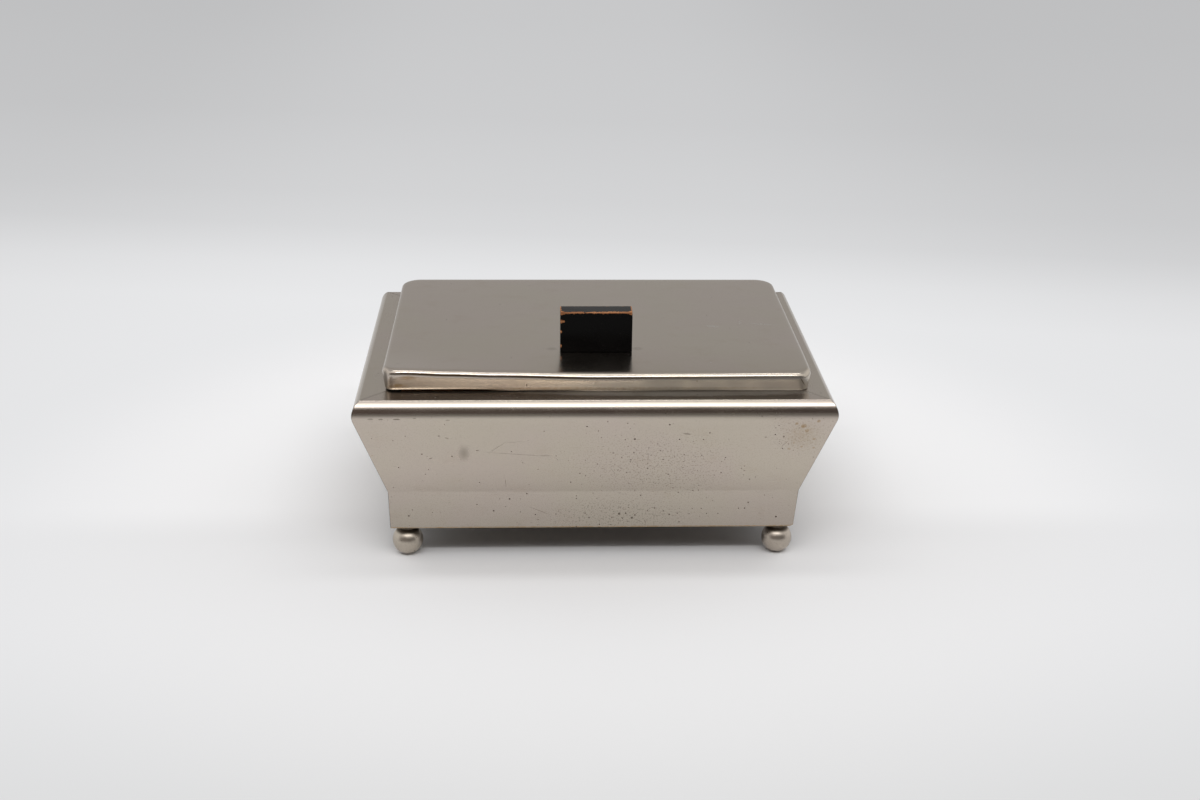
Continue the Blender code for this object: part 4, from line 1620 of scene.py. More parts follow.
@dataclass
class LidPan:
    """The pressed lid: a shallow pan with round edges and corners, slightly out of true along its front."""

    left: float = -67.55 * MM
    right: float = 69.15 * MM
    front: float = -49.50 * MM
    rear: float = 50.70 * MM
    edge_radius: float = 1.6 * MM
    # Front right, rear right, rear left and front left
    corner_radii: tuple[float, ...] = (4.2 * MM, 5.0 * MM, 5.0 * MM, 3.8 * MM)
    corner_growth: float = 2.2 * MM
    growth_curve: float = 1.5
    growth_reach: float = 12.0 * MM
    least_corner: float = 0.8 * MM
    lip_ease: float = 0.12 * MM
    long_steps: int = 64
    short_steps: int = 44
    corner_steps: int = 10
    edge_steps: int = 12
    crown_steps: int = 5
    face_steps: int = 8
    crown_length: float = 2.0 * MM
    # Where the sheet's outer side points, in degrees above level
    crown_start: float = 90.0
    crown_end: float = 84.0
    face_start: float = -12.5
    face_end: float = -10.5
    face_curve: float = 1.6
    # How far inside the outline the loops across the top lie, in millimetres
    insets: tuple[float, ...] = (49.0, 46.0, 40.0, 34.0, 28.0, 23.0, 18.5, 14.5, 11.0, 8.5, 6.5)
    notch_half: float = 33.05 * MM
    notch_depth: float = 2.0 * MM
    notch_height: float = 3.7 * MM
    overrun: float = 1.0 * MM
    hole_depth: float = 1.5 * MM
    hole_steps: int = 32
    hole_radius: float = 1.45 * MM
    hole_x: float = 6.5 * MM
    hole_y: float = -27.30 * MM
    fade: float = 24.0 * MM
    # How far the top's front edge stands above or below true, in millimetres, at places along x
    sag: tuple[tuple[float, float], ...] = (
        (-67.5, 0.95), (-60.7, 0.87), (-46.3, 0.30), (-32.0, -0.12), (1.5, -0.84), (30.2, -0.74),
        (63.7, -0.54), (69.0, -0.50),
    )
    lip_sag: tuple[tuple[float, float], ...] = (
        (-67.5, 0.15), (-60.0, 0.32), (-46.0, 0.32), (-24.0, -0.14), (-5.0, -0.36), (69.0, -0.36),
    )

    def ring(self, inset: float, z: float) -> list[Point]:
        """One level loop round the lid.

        Args:
            inset: How far it lies inside the lid's outline.
            z: Its height.

        Returns:
            Its points, the same number for every loop.
        """
        share = min(1.0, max(0.0, (z - STACK.lid_bottom) / STACK.lid)) ** self.growth_curve
        growth = self.corner_growth * share * max(0.0, 1 - inset / self.growth_reach)
        r = [max(radius - inset, self.least_corner) + growth for radius in self.corner_radii]
        x0, x1, y0, y1 = self.left + inset, self.right - inset, self.front + inset, self.rear - inset
        quarters = (
            (x1 - r[0], y0 + r[0], -90),
            (x1 - r[1], y1 - r[1], 0),
            (x0 + r[2], y1 - r[2], 90),
            (x0 + r[3], y0 + r[3], 180),
        )
        points: list[Point] = []
        for i, (cx, cy, start) in enumerate(quarters):
            radius, following = r[i], r[(i + 1) % 4]
            for j in range(self.corner_steps + 1):
                a = math.radians(start + 90 * j / self.corner_steps)
                points.append((cx + radius * math.cos(a), cy + radius * math.sin(a), z))
            nx, ny, after = quarters[(i + 1) % 4]
            a = math.radians(after)
            goal = (nx + following * math.cos(a), ny + following * math.sin(a))
            here = points[-1]
            steps = self.short_steps if i % 2 == 0 else self.long_steps
            for share in (j / steps for j in range(1, steps)):
                x, y = (here[k] + (goal[k] - here[k]) * share for k in range(2))
                points.append((x, y, z))
        return points

    def levels(self) -> list[tuple[float, float]]:
        """Lists the loops, from the middle of the top over the edge to the middle inside.

        Returns:
            The (inset, height) of each loop.
        """
        low, t, edge = STACK.lid_bottom, STACK.lid_sheet, self.edge()
        spread = [inset * MM for inset in self.insets]
        over = [(inset, STACK.lid_top) for inset in spread] + [(inset, z) for inset, z, _ in edge]
        over.append((edge[-1][0] + self.lip_ease, low))
        under = [(edge[-1][0] + t - self.lip_ease, low)]
        under += [(inset + t * math.cos(way), z - t * math.sin(way)) for inset, z, way in edge[::-1]]
        under += [(inset, STACK.lid_inside) for inset in spread[::-1]]
        return over + under

    def edge(self) -> list[tuple[float, float, float]]:
        """The rounded edge and the slightly hollow side, from the flat top to the lip.

        Returns:
            The (inset, height, outward direction above level) of each step along the sheet's outer side.
        """
        spots = [(0.0, STACK.lid_top, math.radians(self.crown_start))]
        crown, bend = self.crown_end - self.crown_start, self.face_start - self.crown_end
        hollow = self.face_start - self.face_end
        self.follow(spots, lambda s: self.crown_start + crown * s, self.crown_length, self.crown_steps)
        bend_length = math.radians(-bend) * self.edge_radius
        self.follow(spots, lambda s: self.crown_end + bend * s, bend_length, self.edge_steps)
        rest, curve = spots[-1][1] - STACK.lid_bottom - self.lip_ease, self.face_curve
        self.follow(spots, lambda s: self.face_end + hollow * (1 - s) ** curve, rest, self.face_steps)
        outermost = min(spot[0] for spot in spots)
        return [(inset - outermost, z, way) for inset, z, way in spots]

    @staticmethod
    def follow(
        spots: list[tuple[float, float, float]], way_at: Callable[[float], float], length: float, steps: int
    ) -> None:
        """Adds one stretch to the sheet's outer side.

        Args:
            spots: The steps so far, which the new ones are added to.
            way_at: The outward direction in degrees at a share of the stretch.
            length: How long the stretch is.
            steps: How many steps it has.
        """
        for i in range(steps):
            inset, z, _ = spots[-1]
            way = math.radians(way_at((i + 0.5) / steps))
            inset, z = inset - math.sin(way) * length / steps, z - math.cos(way) * length / steps
            spots.append((inset, z, math.radians(way_at((i + 1) / steps))))

    def out_of_true(self, p: Vector) -> float:
        """Reads how far the lid is warped.

        Args:
            p: A point of the lid.

        Returns:
            How far it stands above or below true.
        """
        x = p.x / MM
        share = min(1.0, max(0.0, (p.z - STACK.lid_bottom) / (STACK.lid - self.edge_radius)))
        top, lip = stepped(self.sag, x), stepped(self.lip_sag, x)
        depth = min(1.0, max(0.0, (p.y - self.front) / self.fade))
        return (lip + (top - lip) * share) * MM * (1 - depth) ** 2

    def pan_mesh(self) -> bpy.types.Mesh:
        """Builds the pan, whole and true.

        Returns:
            Its mesh.
        """
        rings = [self.ring(inset, z) for inset, z in self.levels()]
        count, last = len(rings[0]), (len(rings) - 1) * len(rings[0])
        faces: list[tuple[int, ...]] = [tuple(range(count))]
        for low in range(0, last, count):
            high = low + count
            pairs = ((i, (i + 1) % count) for i in range(count))
            faces += [(low + i, low + j, high + j, high + i) for i, j in pairs]
        faces.append(tuple(range(last + count - 1, last - 1, -1)))
        return tidied(mesh_from("lid", [point for ring in rings for point in ring], faces))

    def cutters(self) -> list[bpy.types.Mesh]:
        """Makes the shapes of the hinge's notch and of the screws' holes.

        Returns:
            What is cut away.
        """
        middle, bottom = STACK.centre_x, STACK.lid_bottom
        low = (middle - self.notch_half, self.rear - self.notch_depth, bottom - self.overrun)
        high = (middle + self.notch_half, self.rear + self.overrun, bottom + self.notch_height)
        shapes = [box("notch", low, high)]
        bore = [(0.0, -self.hole_depth), (self.hole_radius, -self.hole_depth)]
        bore += [(self.hole_radius, self.overrun), (0.0, self.overrun)]
        points, faces = turned(bore, self.hole_steps)
        for side in (-1, 1):
            at = Vector((middle + side * self.hole_x, self.hole_y, STACK.lid_top))
            shapes.append(tidied(mesh_from("hole", [Vector(point) + at for point in points], faces)))
        return shapes

    def build(self) -> None:
        """Builds and dresses the lid."""
        mesh = carved(self.pan_mesh(), self.cutters())
        for vert in mesh.vertices:
            vert.co.z += self.out_of_true(vert.co)
        tidied(mesh)
        mesh.materials.clear()
        mesh.materials.append(LID_NICKEL.material())
        hand_over(link("lid_shell", mesh), Body.LID, ["lid_pan"])


def stepped(table: Sequence[tuple[float, float]], x: float) -> float:
    """A value between the places of a table, eased from one to the next.

    Args:
        table: Places and values, in order of place.
        x: Where to read it.

    Returns:
        The value there.
    """
    if x <= table[0][0]:
        return table[0][1]
    for (start, low), (end, high) in zip(table, table[1:]):
        if x <= end:
            share = (x - start) / (end - start)
            return low + (high - low) * share * share * (3 - 2 * share)
    return table[-1][1]


# The handle


@dataclass
class Handle:
    """The upright lacquered block, its edges rubbed and chipped, with its screws and washers in the lid."""

    centre_y: float = -27.30 * MM
    half_width: float = 11.70 * MM
    half_thickness: float = 3.40 * MM
    height: float = 13.45 * MM
    edge_radius: float = 0.22 * MM
    step: float = 0.42 * MM
    # Distances from a side's ends at which its grid is closer
    near: tuple[float, ...] = (0.0, 0.12 * MM, 0.25 * MM, 0.45 * MM, 0.75 * MM)
    wear_scale: float = 900.0
    # The least radius of an edge as a share of the usual one, and how much chance adds
    least_share: float = 0.7
    chance_share: float = 0.8
    edge_reach: float = 1.2 * MM
    end_reach: float = 1.6 * MM
    rub: float = 0.10 * MM
    end_rub: float = 0.28 * MM
    # Chips of the lacquer along the front left upright edge: height and reach, in millimetres
    chips: tuple[tuple[float, float], ...] = ((10.4, 0.55), (6.8, 0.22), (2.0, 0.26))
    screw_x: float = 6.50 * MM
    screw: Screw = Screw(1.3 * MM, 9.8 * MM, 2.4 * MM, 1.4 * MM, 0.6 * MM, True)
    washer_radius: float = 3.0 * MM
    seed: int = 3

    @property
    def low(self) -> Vector:
        """The block's lowest corner."""
        corner = (STACK.centre_x - self.half_width, self.centre_y - self.half_thickness)
        return Vector((*corner, STACK.lid_top + STACK.fit_gap))

    @property
    def high(self) -> Vector:
        """The block's highest corner."""
        return self.low + Vector((2 * self.half_width, 2 * self.half_thickness, self.height))

    def stops(self, low: float, high: float) -> list[float]:
        """Divides one side of the block, more closely near its ends.

        Args:
            low: Where the side starts.
            high: Where it ends.

        Returns:
            The places along it.
        """
        last = self.near[-1]
        between = high - low - 2 * last
        count = max(2, round(between / self.step))
        inner = [last + between * i / count for i in range(1, count)]
        return [low + n for n in (*self.near, *inner)] + [high - n for n in self.near[::-1]]

    def wear(self, p: Vector) -> float:
        """Works out how far the edge nearest to a point is rubbed down.

        Args:
            p: A point on the sharp block.

        Returns:
            The radius of the edge there.
        """
        x, up, back = p.x - STACK.centre_x, self.high.z - p.z, p.y - self.low.y
        rough = noise.noise(p * self.wear_scale) * 0.5 + 0.5
        radius = self.edge_radius * (self.least_share + self.chance_share * rough)
        at_end = max(0.0, 1 - (self.half_width - abs(x)) / self.end_reach)
        if up < self.edge_reach and back < self.edge_reach:
            radius += (self.rub + self.end_rub * at_end) * (0.5 + rough)
        return radius

    def block_mesh(self) -> bpy.types.Mesh:
        """Builds the block as a grid of faces whose edges are rounded as far as each is worn.

        Returns:
            Its mesh.
        """
        stops = [self.stops(low, high) for low, high in zip(self.low, self.high)]
        counts = [len(places) - 1 for places in stops]
        spots: dict[tuple[int, ...], int] = {}
        faces: list[tuple[int, ...]] = []
        for across, up, through in ((0, 1, 2), (0, 2, 1), (1, 2, 0)):
            for i, j, k in product(range(counts[across]), range(counts[up]), (0, counts[through])):
                corners = []
                for di, dj in ((0, 0), (1, 0), (1, 1), (0, 1)):
                    spot = [k, k, k]
                    spot[across], spot[up] = i + di, j + dj
                    corners.append(spots.setdefault(tuple(spot), len(spots)))
                faces.append(tuple(corners))
        sharp = (Vector([places[n] for places, n in zip(stops, spot)]) for spot in spots)
        return tidied(mesh_from("block", [self.rounded(p) for p in sharp], faces), BLOCK_ANGLE)

    def rounded(self, p: Vector) -> Vector:
        """Where a point of the sharp block lies once its edges are worn.

        Args:
            p: A point on the sharp block.

        Returns:
            The point on the worn block.
        """
        radius = self.wear(p)
        low, high = self.low, self.high
        inner = Vector((
            min(max(p.x, low.x + radius), high.x - radius),
            min(max(p.y, low.y + radius), high.y - radius),
            min(p.z, high.z - radius),
        ))
        out = p - inner
        if out.length < MERGE_DISTANCE:
            return p
        flat = sum(1 for part in out if abs(part) > MERGE_DISTANCE) < 2
        return p if flat else inner + out.normalized() * radius

    def build(self, repeat: RepeatTree) -> None:
        """Builds the block, its screws and its washers.

        Args:
            repeat: The tree that copies one screw and one washer to both ends.
        """
        lacquer = EbonisedWood("ebonised_wood_worn", tuple(self.low), tuple(self.high), self.chips)
        mesh = self.block_mesh()
        mesh.materials.append(lacquer.material())
        hand_over(link("handle_block", mesh), Body.LID, ["handle"])
        washer = Washer(self.screw.radius + STACK.fit_gap, self.washer_radius).mesh()
        washer_bottom = STACK.lid_inside - STACK.fit_gap - STACK.washer
        rows = (
            ("handle_screws", "handle_screw", self.screw.mesh(), washer_bottom - STACK.fit_gap),
            ("handle_washers", "handle_washer", washer, washer_bottom),
        )
        for name, node, piece, height in rows:
            centre = (STACK.centre_x, self.centre_y, height)
            spread = Spread((2, 1), (2 * self.screw_x, 0.0), centre, math.pi, self.seed)
            copies = link(name, repeat.copies(piece, BRASS, spread))
            hand_over(copies, Body.LID, [f"{node}_left", f"{node}_right"])


# The hinge and the liner


@dataclass
class Hinge:
    """The brass hinge behind the lid; leaves and pin keep their own shapes, and rivets are made here."""

    rivet_y: float = 47.135 * MM
    pitch: float = 25.60 * MM
    rivets: int = 3
    shank_radius: float = 0.80 * MM
    head_radius: float = 1.40 * MM
    head_height: float = 0.60 * MM
    dome_steps: int = 8
    round_steps: int = 32
    seed: int = 11

    def rivet_mesh(self) -> bpy.types.Mesh:
        """Builds one rivet with a domed head above and a set tail below.

        Returns:
            Its mesh.
        """
        leaf_top = STACK.lid_bottom + STACK.leaf_sheet + STACK.fit_gap
        tail_top = STACK.border_top - STACK.wall_sheet - STACK.fit_gap
        quarter = [math.radians(90) * i / self.dome_steps for i in range(self.dome_steps + 1)]
        dome = [(self.head_radius * math.cos(a), self.head_height * math.sin(a)) for a in quarter]
        outline = [(r, tail_top - z) for r, z in dome[::-1]]
        outline += [(self.shank_radius, tail_top), (self.shank_radius, leaf_top)]
        outline += [(r, leaf_top + z) for r, z in dome]
        return tidied(mesh_from("rivet", *turned(outline, self.round_steps)))

    def build(self, repeat: RepeatTree) -> None:
        """Builds the rivets and dresses the hinge.

        Args:
            repeat: The tree that copies one rivet along the border.
        """
        names = [f"hinge_rivet_{number + 1}" for number in range(self.rivets)]
        centre = (STACK.centre_x, self.rivet_y, 0.0)
        spread = Spread((self.rivets, 1), (self.pitch, 0.0), centre, math.pi, self.seed)
        copies = link("border_rivets", repeat.copies(self.rivet_mesh(), BRASS, spread))
        hand_over(copies, Body.BASE, names)
        dress("hinge_body_leaf", BRASS)
        dress("hinge_lid_leaf", BRASS)
        dress("hinge_pin", SCREW_STEEL)


class Liner:
    """The cedar liner, whose boards keep their own shapes, each with its grain along its length."""

    BOARDS = {
        "liner_floor": GrainWay.ALONG_X,
        "liner_front": GrainWay.ALONG_X,
        "liner_rear": GrainWay.ALONG_X,
        "liner_left": GrainWay.ALONG_Y,
        "liner_right": GrainWay.ALONG_Y,
    }

    def build(self) -> None:
        """Dresses the boards."""
        for board, way in self.BOARDS.items():
            dress(board, CedarWood(f"cedar_{way.name.lower()}", way))


# The stage


@dataclass
class Lamp:
    """One long soft strip lamp, square to the box.

    Attributes:
        name: The lamp's name.
        angle: How high it stands above the front horizon, in degrees; 90 is straight above.
        distance: How far it is from the box.
        length: Its length along x.
        width: Its width.
        power: Its power in watts.
    """

    name: str
    angle: float
    distance: float
    length: float
    width: float
    power: float

    AIM = (0.0, -40.0 * MM, 0.0)

    def build(self) -> None:
        """Hangs the lamp."""
        data = bpy.data.lights.new(self.name, "AREA")
        data.shape = "RECTANGLE"
        data.size, data.size_y = self.length, self.width
        data.energy = self.power
        obj = bpy.data.objects.new(self.name, data)
        bpy.context.scene.collection.objects.link(obj)
        angle = math.radians(self.angle)
        towards = Vector((0.0, -math.cos(angle), math.sin(angle)))
        obj.location = Vector(self.AIM) + towards * self.distance
        obj.rotation_mode = "QUATERNION"
        quarter_turn = Quaternion((0.0, 0.0, 1.0), math.radians(90))
        obj.rotation_quaternion = towards.to_track_quat("Z", "X") @ quarter_turn


@dataclass
class Studio:
    """A pale sweep in a white tent, open to a dim room in front, with two strip lamps under its ceiling.

    Its spans are where one look passes into the next, in metres on the floor and as parts of a direction
    above it.
    """

    floor_radii: tuple[float, ...] = (0.0, 0.25, 0.5, 1.0, 2.0, 5.0, 14.0)
    floor_steps: int = 96
    lamps: tuple[Lamp, ...] = (
        Lamp("front_strip", 53.5, 0.93, 0.80, 0.045, 1.72),
        Lamp("top_strip", 92.0, 0.70, 0.80, 0.090, 0.78),
    )
    # Painted light falloff of the sweep from the box to its far end: distance behind the box in metres, and
    # level
    sweep: tuple[tuple[float, float], ...] = (
        (0.00, 0.800), (0.12, 0.812), (0.21, 0.815), (0.27, 0.778), (0.306, 0.735), (0.344, 0.690),
        (0.42, 0.652), (0.65, 0.604), (1.12, 0.578), (2.00, 0.560),
    )
    sweep_tint: Colour = (1.0, 1.004, 1.018)
    sweep_skew: float = 0.15
    # Where the lit floor passes into floor that glows in its painted colour, in metres from the box
    lit_to_painted_glow: Span = (0.13, 0.24)
    # Painted light: the lit floor is paler from the box's middle back than ahead; painted shadow below the
    # box
    painted_light_behind: Colour = (1.15, 1.15, 1.15)
    painted_light_ahead: Colour = (1.05, 1.05, 1.05)
    painted_light_span: Span = (-0.005, -0.035)
    painted_shadow_x: Span = (0.070, 0.060)
    painted_shadow_y: Span = (0.0415, 0.0375)
    painted_shadow_level: float = 0.76
    # To the sides the sweep is darker, a painted light falloff, and less so ahead of the box
    side_x: Span = (0.08, 0.36)
    side_y: Span = (-0.10, 0.40)
    side_ahead: float = 0.30
    side_painted_falloff: float = 0.91
    # Further ahead it is darker too, a painted light falloff
    front_painted_falloff: Colour = (0.87, 0.87, 0.86)
    front_span: Span = (-0.08, -0.25)
    # The floor in front as the box's metal sees it: a painted shade, shown only in reflections
    front_painted_shade: Colour = (0.30, 0.29, 0.28)
    front_shade_skew: float = 0.35
    front_shade_span: Span = (-0.11, -0.32)
    opening_sides: Span = (0.20, 0.60)
    opening_top: Span = (1.06, 1.26)
    room_left: Colour = (0.114, 0.086, 0.076)
    room_right: Colour = (0.052, 0.040, 0.036)
    room_span: Span = (-0.30, 0.30)
    wall_low: Colour = (0.500, 0.493, 0.488)
    wall_high: Colour = (0.400, 0.393, 0.390)
    wall_span: Span = (0.0, 0.9)
    side_walls: Colour = (0.86, 0.85, 0.84)
    side_wall_span: Span = (0.30, 0.75)
    ceiling_edge: Span = (0.55, 0.80)
    ceiling_rear: Colour = (0.52, 0.52, 0.52)
    ceiling_front: Colour = (1.75, 1.73, 1.71)
    ceiling_span: Span = (0.10, 0.46)
    # Keeps a direction's parts from being divided by nothing
    least_part: float = 0.001
    backdrop: Colour = (0.530, 0.532, 0.540)

    def floor(self) -> None:
        """The floor, lit close by and glowing far away, with painted light and a painted shadow near the
        box.
        """
        points, faces = turned([(r, 0.0) for r in self.floor_radii], self.floor_steps)
        obj = link("floor", mesh_from("floor", points, faces))
        material = bpy.data.materials.new("pale_sweep")
        material.use_nodes = True
        material.cycles.emission_sampling = "NONE"
        g = Graph(material.node_tree)
        place = g.node("ShaderNodeTexCoord")["Object"]
        x, y, _ = g.parts(place)
        sweep = self.sweep_colour(g, x, y)
        # Painted light: the lit floor is paler from the box's middle back than ahead of it
        paint = g.mix(y.ramp(*self.painted_light_span), self.painted_light_behind, self.painted_light_ahead)
        # Painted shadow below the box
        below = abs(x).ramp(*self.painted_shadow_x) * abs(y).ramp(*self.painted_shadow_y)
        paint = g.dimmed(below, paint, self.painted_shadow_level)
        painted = g.node("ShaderNodeBsdfDiffuse", None, {"Color": g.mix(1.0, sweep, paint, "MULTIPLY")})
        # Far away the floor glows in the sweep's painted colour
        level = g.node("ShaderNodeEmission", None, {"Color": sweep, "Strength": 1.0})
        share = g.length(place).ramp(*self.lit_to_painted_glow)
        mixed = g.node("ShaderNodeMixShader", None, {0: share, 1: painted[0], 2: level[0]})
        g.node("ShaderNodeOutputMaterial", None, {"Surface": mixed[0]})
        obj.data.materials.append(material)

    def sweep_colour(self, g: Graph, x: Wire, y: Wire) -> Wire:
        """The sweep's colour, with painted light falloff to the sides and ahead, and painted shade ahead for
        the metal.

        Args:
            g: The graph to draw in.
            x: How far right of the box a place is, in metres.
            y: How far behind the box it is.

        Returns:
            The colour.
        """
        length = self.sweep[-1][0]
        stops = tuple((at / length, tuple(level * t for t in self.sweep_tint)) for at, level in self.sweep)
        share = (y + x * self.sweep_skew) / length
        sweep = g.node("ShaderNodeValToRGB", {"stops": stops}, {0: share})["Color"]
        # Painted light falloff: darker to the sides and further ahead
        side = abs(x).ramp(*self.side_x) * y.ramp(*self.side_y, self.side_ahead)
        sweep = g.dimmed(side, sweep, self.side_painted_falloff)
        sweep = g.mix(y.ramp(*self.front_span), sweep, self.front_painted_falloff, "MULTIPLY")
        # Painted shade on the floor ahead, seen only in reflections
        camera = g.node("ShaderNodeLightPath")["Is Camera Ray"]
        front = (y - x * self.front_shade_skew).ramp(*self.front_shade_span) * (1.0 - camera)
        return g.mix(front, sweep, self.front_painted_shade, "MULTIPLY")

    def surroundings(self) -> None:
        """The world: the tent's walls and ceiling, the room in front, and grey for the camera itself."""
        world = bpy.data.worlds.new("surroundings")
        bpy.context.scene.world = world
        world.use_nodes = True
        g = Graph(world.node_tree)
        x, y, z = g.parts(g.node("ShaderNodeTexCoord")["Generated"])
        ahead = (y * -1.0) / g.math("SQRT", x * x + y * y).most(self.least_part)
        forward = (y * -1.0) / z.most(self.least_part)
        opening = ahead.ramp(*self.opening_sides) * forward.ramp(*self.opening_top)
        room = g.mix(x.ramp(*self.room_span), self.room_left, self.room_right)
        up = z.most(0.0)
        walls = g.mix(up.ramp(*self.wall_span), self.wall_low, self.wall_high)
        walls = g.mix(abs(x).ramp(*self.side_wall_span), walls, self.side_walls)
        ceiling = g.mix(forward.ramp(*self.ceiling_span), self.ceiling_rear, self.ceiling_front)
        tent = g.mix(up.ramp(*self.ceiling_edge), walls, ceiling)
        camera = g.node("ShaderNodeLightPath")["Is Camera Ray"]
        shown = g.mix(camera, g.mix(opening, tent, room), self.backdrop)
        back = g.node("ShaderNodeBackground", None, {"Color": shown, "Strength": 1.0})
        g.node("ShaderNodeOutputWorld", None, {"Surface": back[0]})

    def build(self) -> None:
        """Builds floor, lamps and surroundings."""
        self.floor()
        for lamp in self.lamps:
            lamp.build()
        self.surroundings()
        bpy.context.scene.view_settings.view_transform = "Standard"


@dataclass
class PhotoCamera:
    """The camera at the photograph's place, found by fitting the box's edges."""

    place: Point = (-20.3473 * MM, -542.1968 * MM, 248.9142 * MM)
    yaw: float = 0.0442
    pitch: float = 0.3722
    roll: float = 0.0135
    lens: float = 50.0
    sensor: float = 36.0
    clip: tuple[float, float] = (0.01, 100.0)

    def build(self) -> None:
        """Makes the camera and gives it to the scene."""
        data = bpy.data.cameras.new("photo_camera")
        data.sensor_width = self.sensor
        data.lens = self.lens
        data.clip_start, data.clip_end = self.clip
        obj = bpy.data.objects.new("photo_camera", data)
        bpy.context.scene.collection.objects.link(obj)
        level = Vector((math.cos(self.yaw), -math.sin(self.yaw), 0.0))
        away = Vector((math.sin(self.yaw), math.cos(self.yaw), 0.0))
        ahead = away * math.cos(self.pitch) - Vector((0.0, 0.0, math.sin(self.pitch)))
        up = level.cross(ahead)
        right = math.cos(self.roll) * level + math.sin(self.roll) * up
        above = math.cos(self.roll) * up - math.sin(self.roll) * level
        turn = Matrix((right, above, -ahead)).transposed()
        obj.matrix_world = Matrix.Translation(self.place) @ turn.to_4x4()
        bpy.context.scene.camera = obj


# The finishes of this box

FRONT_NICKEL = AgedNickel(
    "satin_nickel_front",
    edge_line=0.60 * MM,
    # Painted shade on the lower part of the sheet, up to this height
    low_shade_reach=27.0 * MM,
    pits=0.06,
    pitted=(
        Mark(20.0, 24.0, 34.0, 19.0, 0.40, core=0.2),
        Mark(8.5, 4.4, 30.0, 8.0, 0.46, core=0.3),
        Mark(64.0, 37.0, 13.0, 13.0, 0.20, core=0.2),
    ),
    dark=(
        dot(12.4, 35.5, 0.95, 0.85), dot(23.2, 41.5, 0.80, 0.85), Mark(28.8, 37.6, 1.6, 0.22, 0.8, -5.0),
        dot(-60.3, 4.5, 0.75, 0.8), dot(-27.5, 10.5, 0.75, 0.85), dot(-32.7, 6.2, 0.75, 0.8),
        dot(59.9, 3.5, 0.8, 0.85), Mark(-52.4, 27.7, 0.9, 0.25, 0.5, 20.0),
        Mark(-47.0, 36.2, 0.8, 0.22, 0.5, -15.0), Mark(-41.8, 29.8, 2.6, 4.8, 0.36, core=0.0),
        Mark(-41.6, 28.4, 1.3, 2.2, 0.24, core=0.1), Mark(-37.5, 31.0, 0.8, 0.25, 0.55, 10.0),
        scratch_and_shade_line((-38.7, 30.6), (-10.4, 27.9), 0.24, 0.50), scratch_and_shade_line((-35.1, 29.0), (-27.4, 35.3), 0.24, 0.50),
        scratch_and_shade_line((-30.4, 34.0), (-21.3, 34.9), 0.22, 0.42), scratch_and_shade_line((-28.9, 19.2), (-28.4, 14.4), 0.30, 0.50),
        scratch_and_shade_line((-18.6, 28.6), (-13.0, 28.8), 0.30, 0.45), scratch_and_shade_line((-12.8, 27.7), (-11.6, 26.4), 0.26, 0.40),
        scratch_and_shade_line((4.5, 23.7), (7.0, 20.3), 0.26, 0.35), scratch_and_shade_line((58.9, 31.7), (61.9, 35.1), 0.26, 0.50),
        scratch_and_shade_line((-22.3, 8.1), (-13.7, 4.4), 0.30, 0.40), dot(-1.6, 3.5, 0.7, 0.7), dot(5.9, 3.6, 0.6, 0.7),
        dot(13.4, 4.4, 0.7, 0.7), dot(17.5, 5.9, 0.6, 0.7), dot(28.0, 1.8, 0.6, 0.7),
        dot(9.9, 42.1, 0.6, 0.7), Mark(-70.5, 44.0, 1.2, 0.30, 0.4), Mark(-67.3, 43.9, 0.9, 0.28, 0.5),
        Mark(-62.4, 43.9, 1.4, 0.32, 0.55), Mark(-56.8, 44.3, 0.8, 0.25, 0.35),
        # The long mark near v 56.7 is painted shade along the border where the lid's lip sits on it
        Mark(-46.5, 43.6, 0.9, 0.25, 0.35), Mark(0.0, 56.7, 67.0, 0.60, 0.60),
    ),
    brown=(
        dot(65.7, 40.8, 2.4, 0.75), dot(66.9, 38.9, 1.9, 0.7), dot(63.4, 41.8, 1.3, 0.6),
        dot(70.3, 42.7, 1.5, 0.6), dot(63.1, 38.4, 1.2, 0.55), dot(69.6, 35.3, 1.3, 0.5),
        dot(63.3, 33.8, 1.2, 0.5), dot(61.9, 31.2, 1.2, 0.5), dot(-70.9, 29.0, 0.5, 0.8),
        dot(69.8, 31.6, 1.0, 0.45), dot(65.9, 32.1, 1.1, 0.45), Mark(65.5, 37.0, 8.5, 8.0, 0.22, core=0.1),
    ),
    worn=(Mark(26.0, 56.6, 58.0, 4.4, 0.60, core=0.5),),
)
SIDE_NICKEL = AgedNickel(
    "satin_nickel_sides",
    edge_line=0.28 * MM,
    # Painted shade on the lower part of the sheet, up to this height
    low_shade_reach=27.0 * MM,
    pits=0.05,
    pitted=(Mark(-10.0, 20.0, 26.0, 20.0, 0.14, core=0.2), Mark(22.0, 6.0, 24.0, 8.0, 0.22, core=0.2)),
)
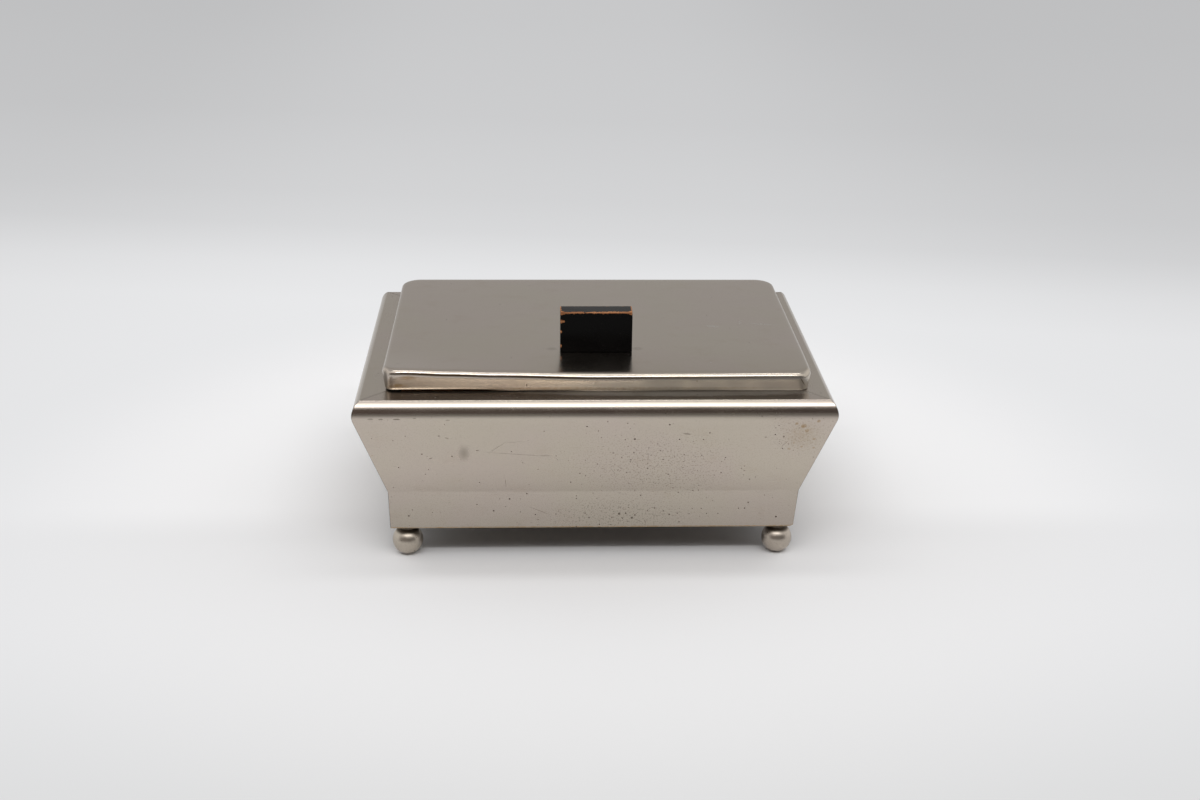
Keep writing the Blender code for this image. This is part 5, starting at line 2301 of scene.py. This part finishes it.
LID_NICKEL = AgedNickel(
    "satin_nickel_lid",
    surface=Surface.FROM_ABOVE,
    roughness=0.205,
    pits=0.012,
    dark=(
        Mark(-13.6, 38.5, 2.6, 2.2, 0.22, core=0.1),
        Mark(14.4, 38.5, 2.6, 2.2, 0.22, core=0.1),
        # Painted shade: lines along the lip near v 11, where it sits on the border,
        # and a painted dark reflection under the edge's highlight near v 14.5 to 16, ending at both corners
        scratch_and_shade_line((-66.0, 11.05), (-20.0, 11.05), 0.7, 0.85), scratch_and_shade_line((-30.0, 10.8), (2.0, 10.5), 0.7, 0.85),
        scratch_and_shade_line((-2.0, 10.5), (68.0, 10.5), 0.7, 0.90), scratch_and_shade_line((14.0, 14.45), (69.0, 14.6), 0.8, 0.80),
        Mark(-66.5, 14.5, 1.2, 5.6, 0.75, core=0.4), scratch_and_shade_line((-60.5, 16.0), (-66.0, 15.9), 0.6, 0.75),
        scratch_and_shade_line((61.0, 14.8), (65.2, 14.7), 0.6, 0.85), scratch_and_shade_line((64.4, 15.1), (67.4, 11.8), 0.8, 0.85),
    ),
    worn=(Mark(60.0, 12.2, 80.0, 3.6, 0.95, core=0.55), Mark(-46.0, 12.2, 34.0, 3.6, 0.12, core=0.4)),
    worn_colour=(0.25, 0.24, 0.222),
    skin=65.45 * MM,
    pale=(
        Mark(41.6, 61.2, 3.4, 1.5, 0.8, -12.0, 0.2), Mark(51.4, 65.0, 0.8, 2.6, 0.7, 0.0, 0.2),
        Mark(59.0, 63.4, 7.5, 1.0, 0.6, -12.0, 0.2), dot(12.1, 105.4, 0.7, 0.7), dot(37.4, 25.6, 0.5, 0.6),
    ),
    brown=(
        Mark(-59.0, 14.6, 3.4, 0.9, 0.6, core=0.3), Mark(-62.5, 12.2, 4.5, 0.9, 0.8, core=0.3),
        # Above are spots of tarnish; below, the lines near v 14.4 to 15.9 are a painted dark reflection
        # under the highlight,
        # and the long mark near v 11.3 is painted shade along the lip
        scratch_and_shade_line((-66.0, 15.9), (-30.0, 14.9), 1.0, 0.8), scratch_and_shade_line((-34.0, 15.0), (2.0, 14.35), 1.0, 0.8),
        scratch_and_shade_line((-2.0, 14.35), (69.0, 14.6), 1.0, 0.85), Mark(6.0, 11.3, 74.0, 0.5, 0.5, core=0.4),
    ),
)
PLAIN_NICKEL = AgedNickel(
    "satin_nickel_plate",
    surface=Surface.ALL_ROUND,
    pits=0.03,
    roughness=0.42,
    tone=0.55,
)
FOOT_NICKEL = AgedNickel(
    "satin_nickel_feet",
    surface=Surface.ALL_ROUND,
    pits=0.12,
    roughness=0.35,
    tone=0.95,
    # The balls are darker above this height: painted shade under the base, with some grime
    shade_and_grime_from=7.7 * MM,
)
BRASS = BareBrass("bare_brass_aged")
SCREW_STEEL = ScrewSteel("screw_steel_plain")


def main() -> None:
    """Builds the box, the stage and the camera."""
    logging.basicConfig(level=logging.INFO, format="%(message)s")
    repeat = RepeatTree()
    Walls().build()
    Feet().build(repeat)
    LidPan().build()
    Handle().build(repeat)
    Hinge().build(repeat)
    Liner().build()
    Studio().build()
    PhotoCamera().build()


if __name__ == "__main__":
    main()
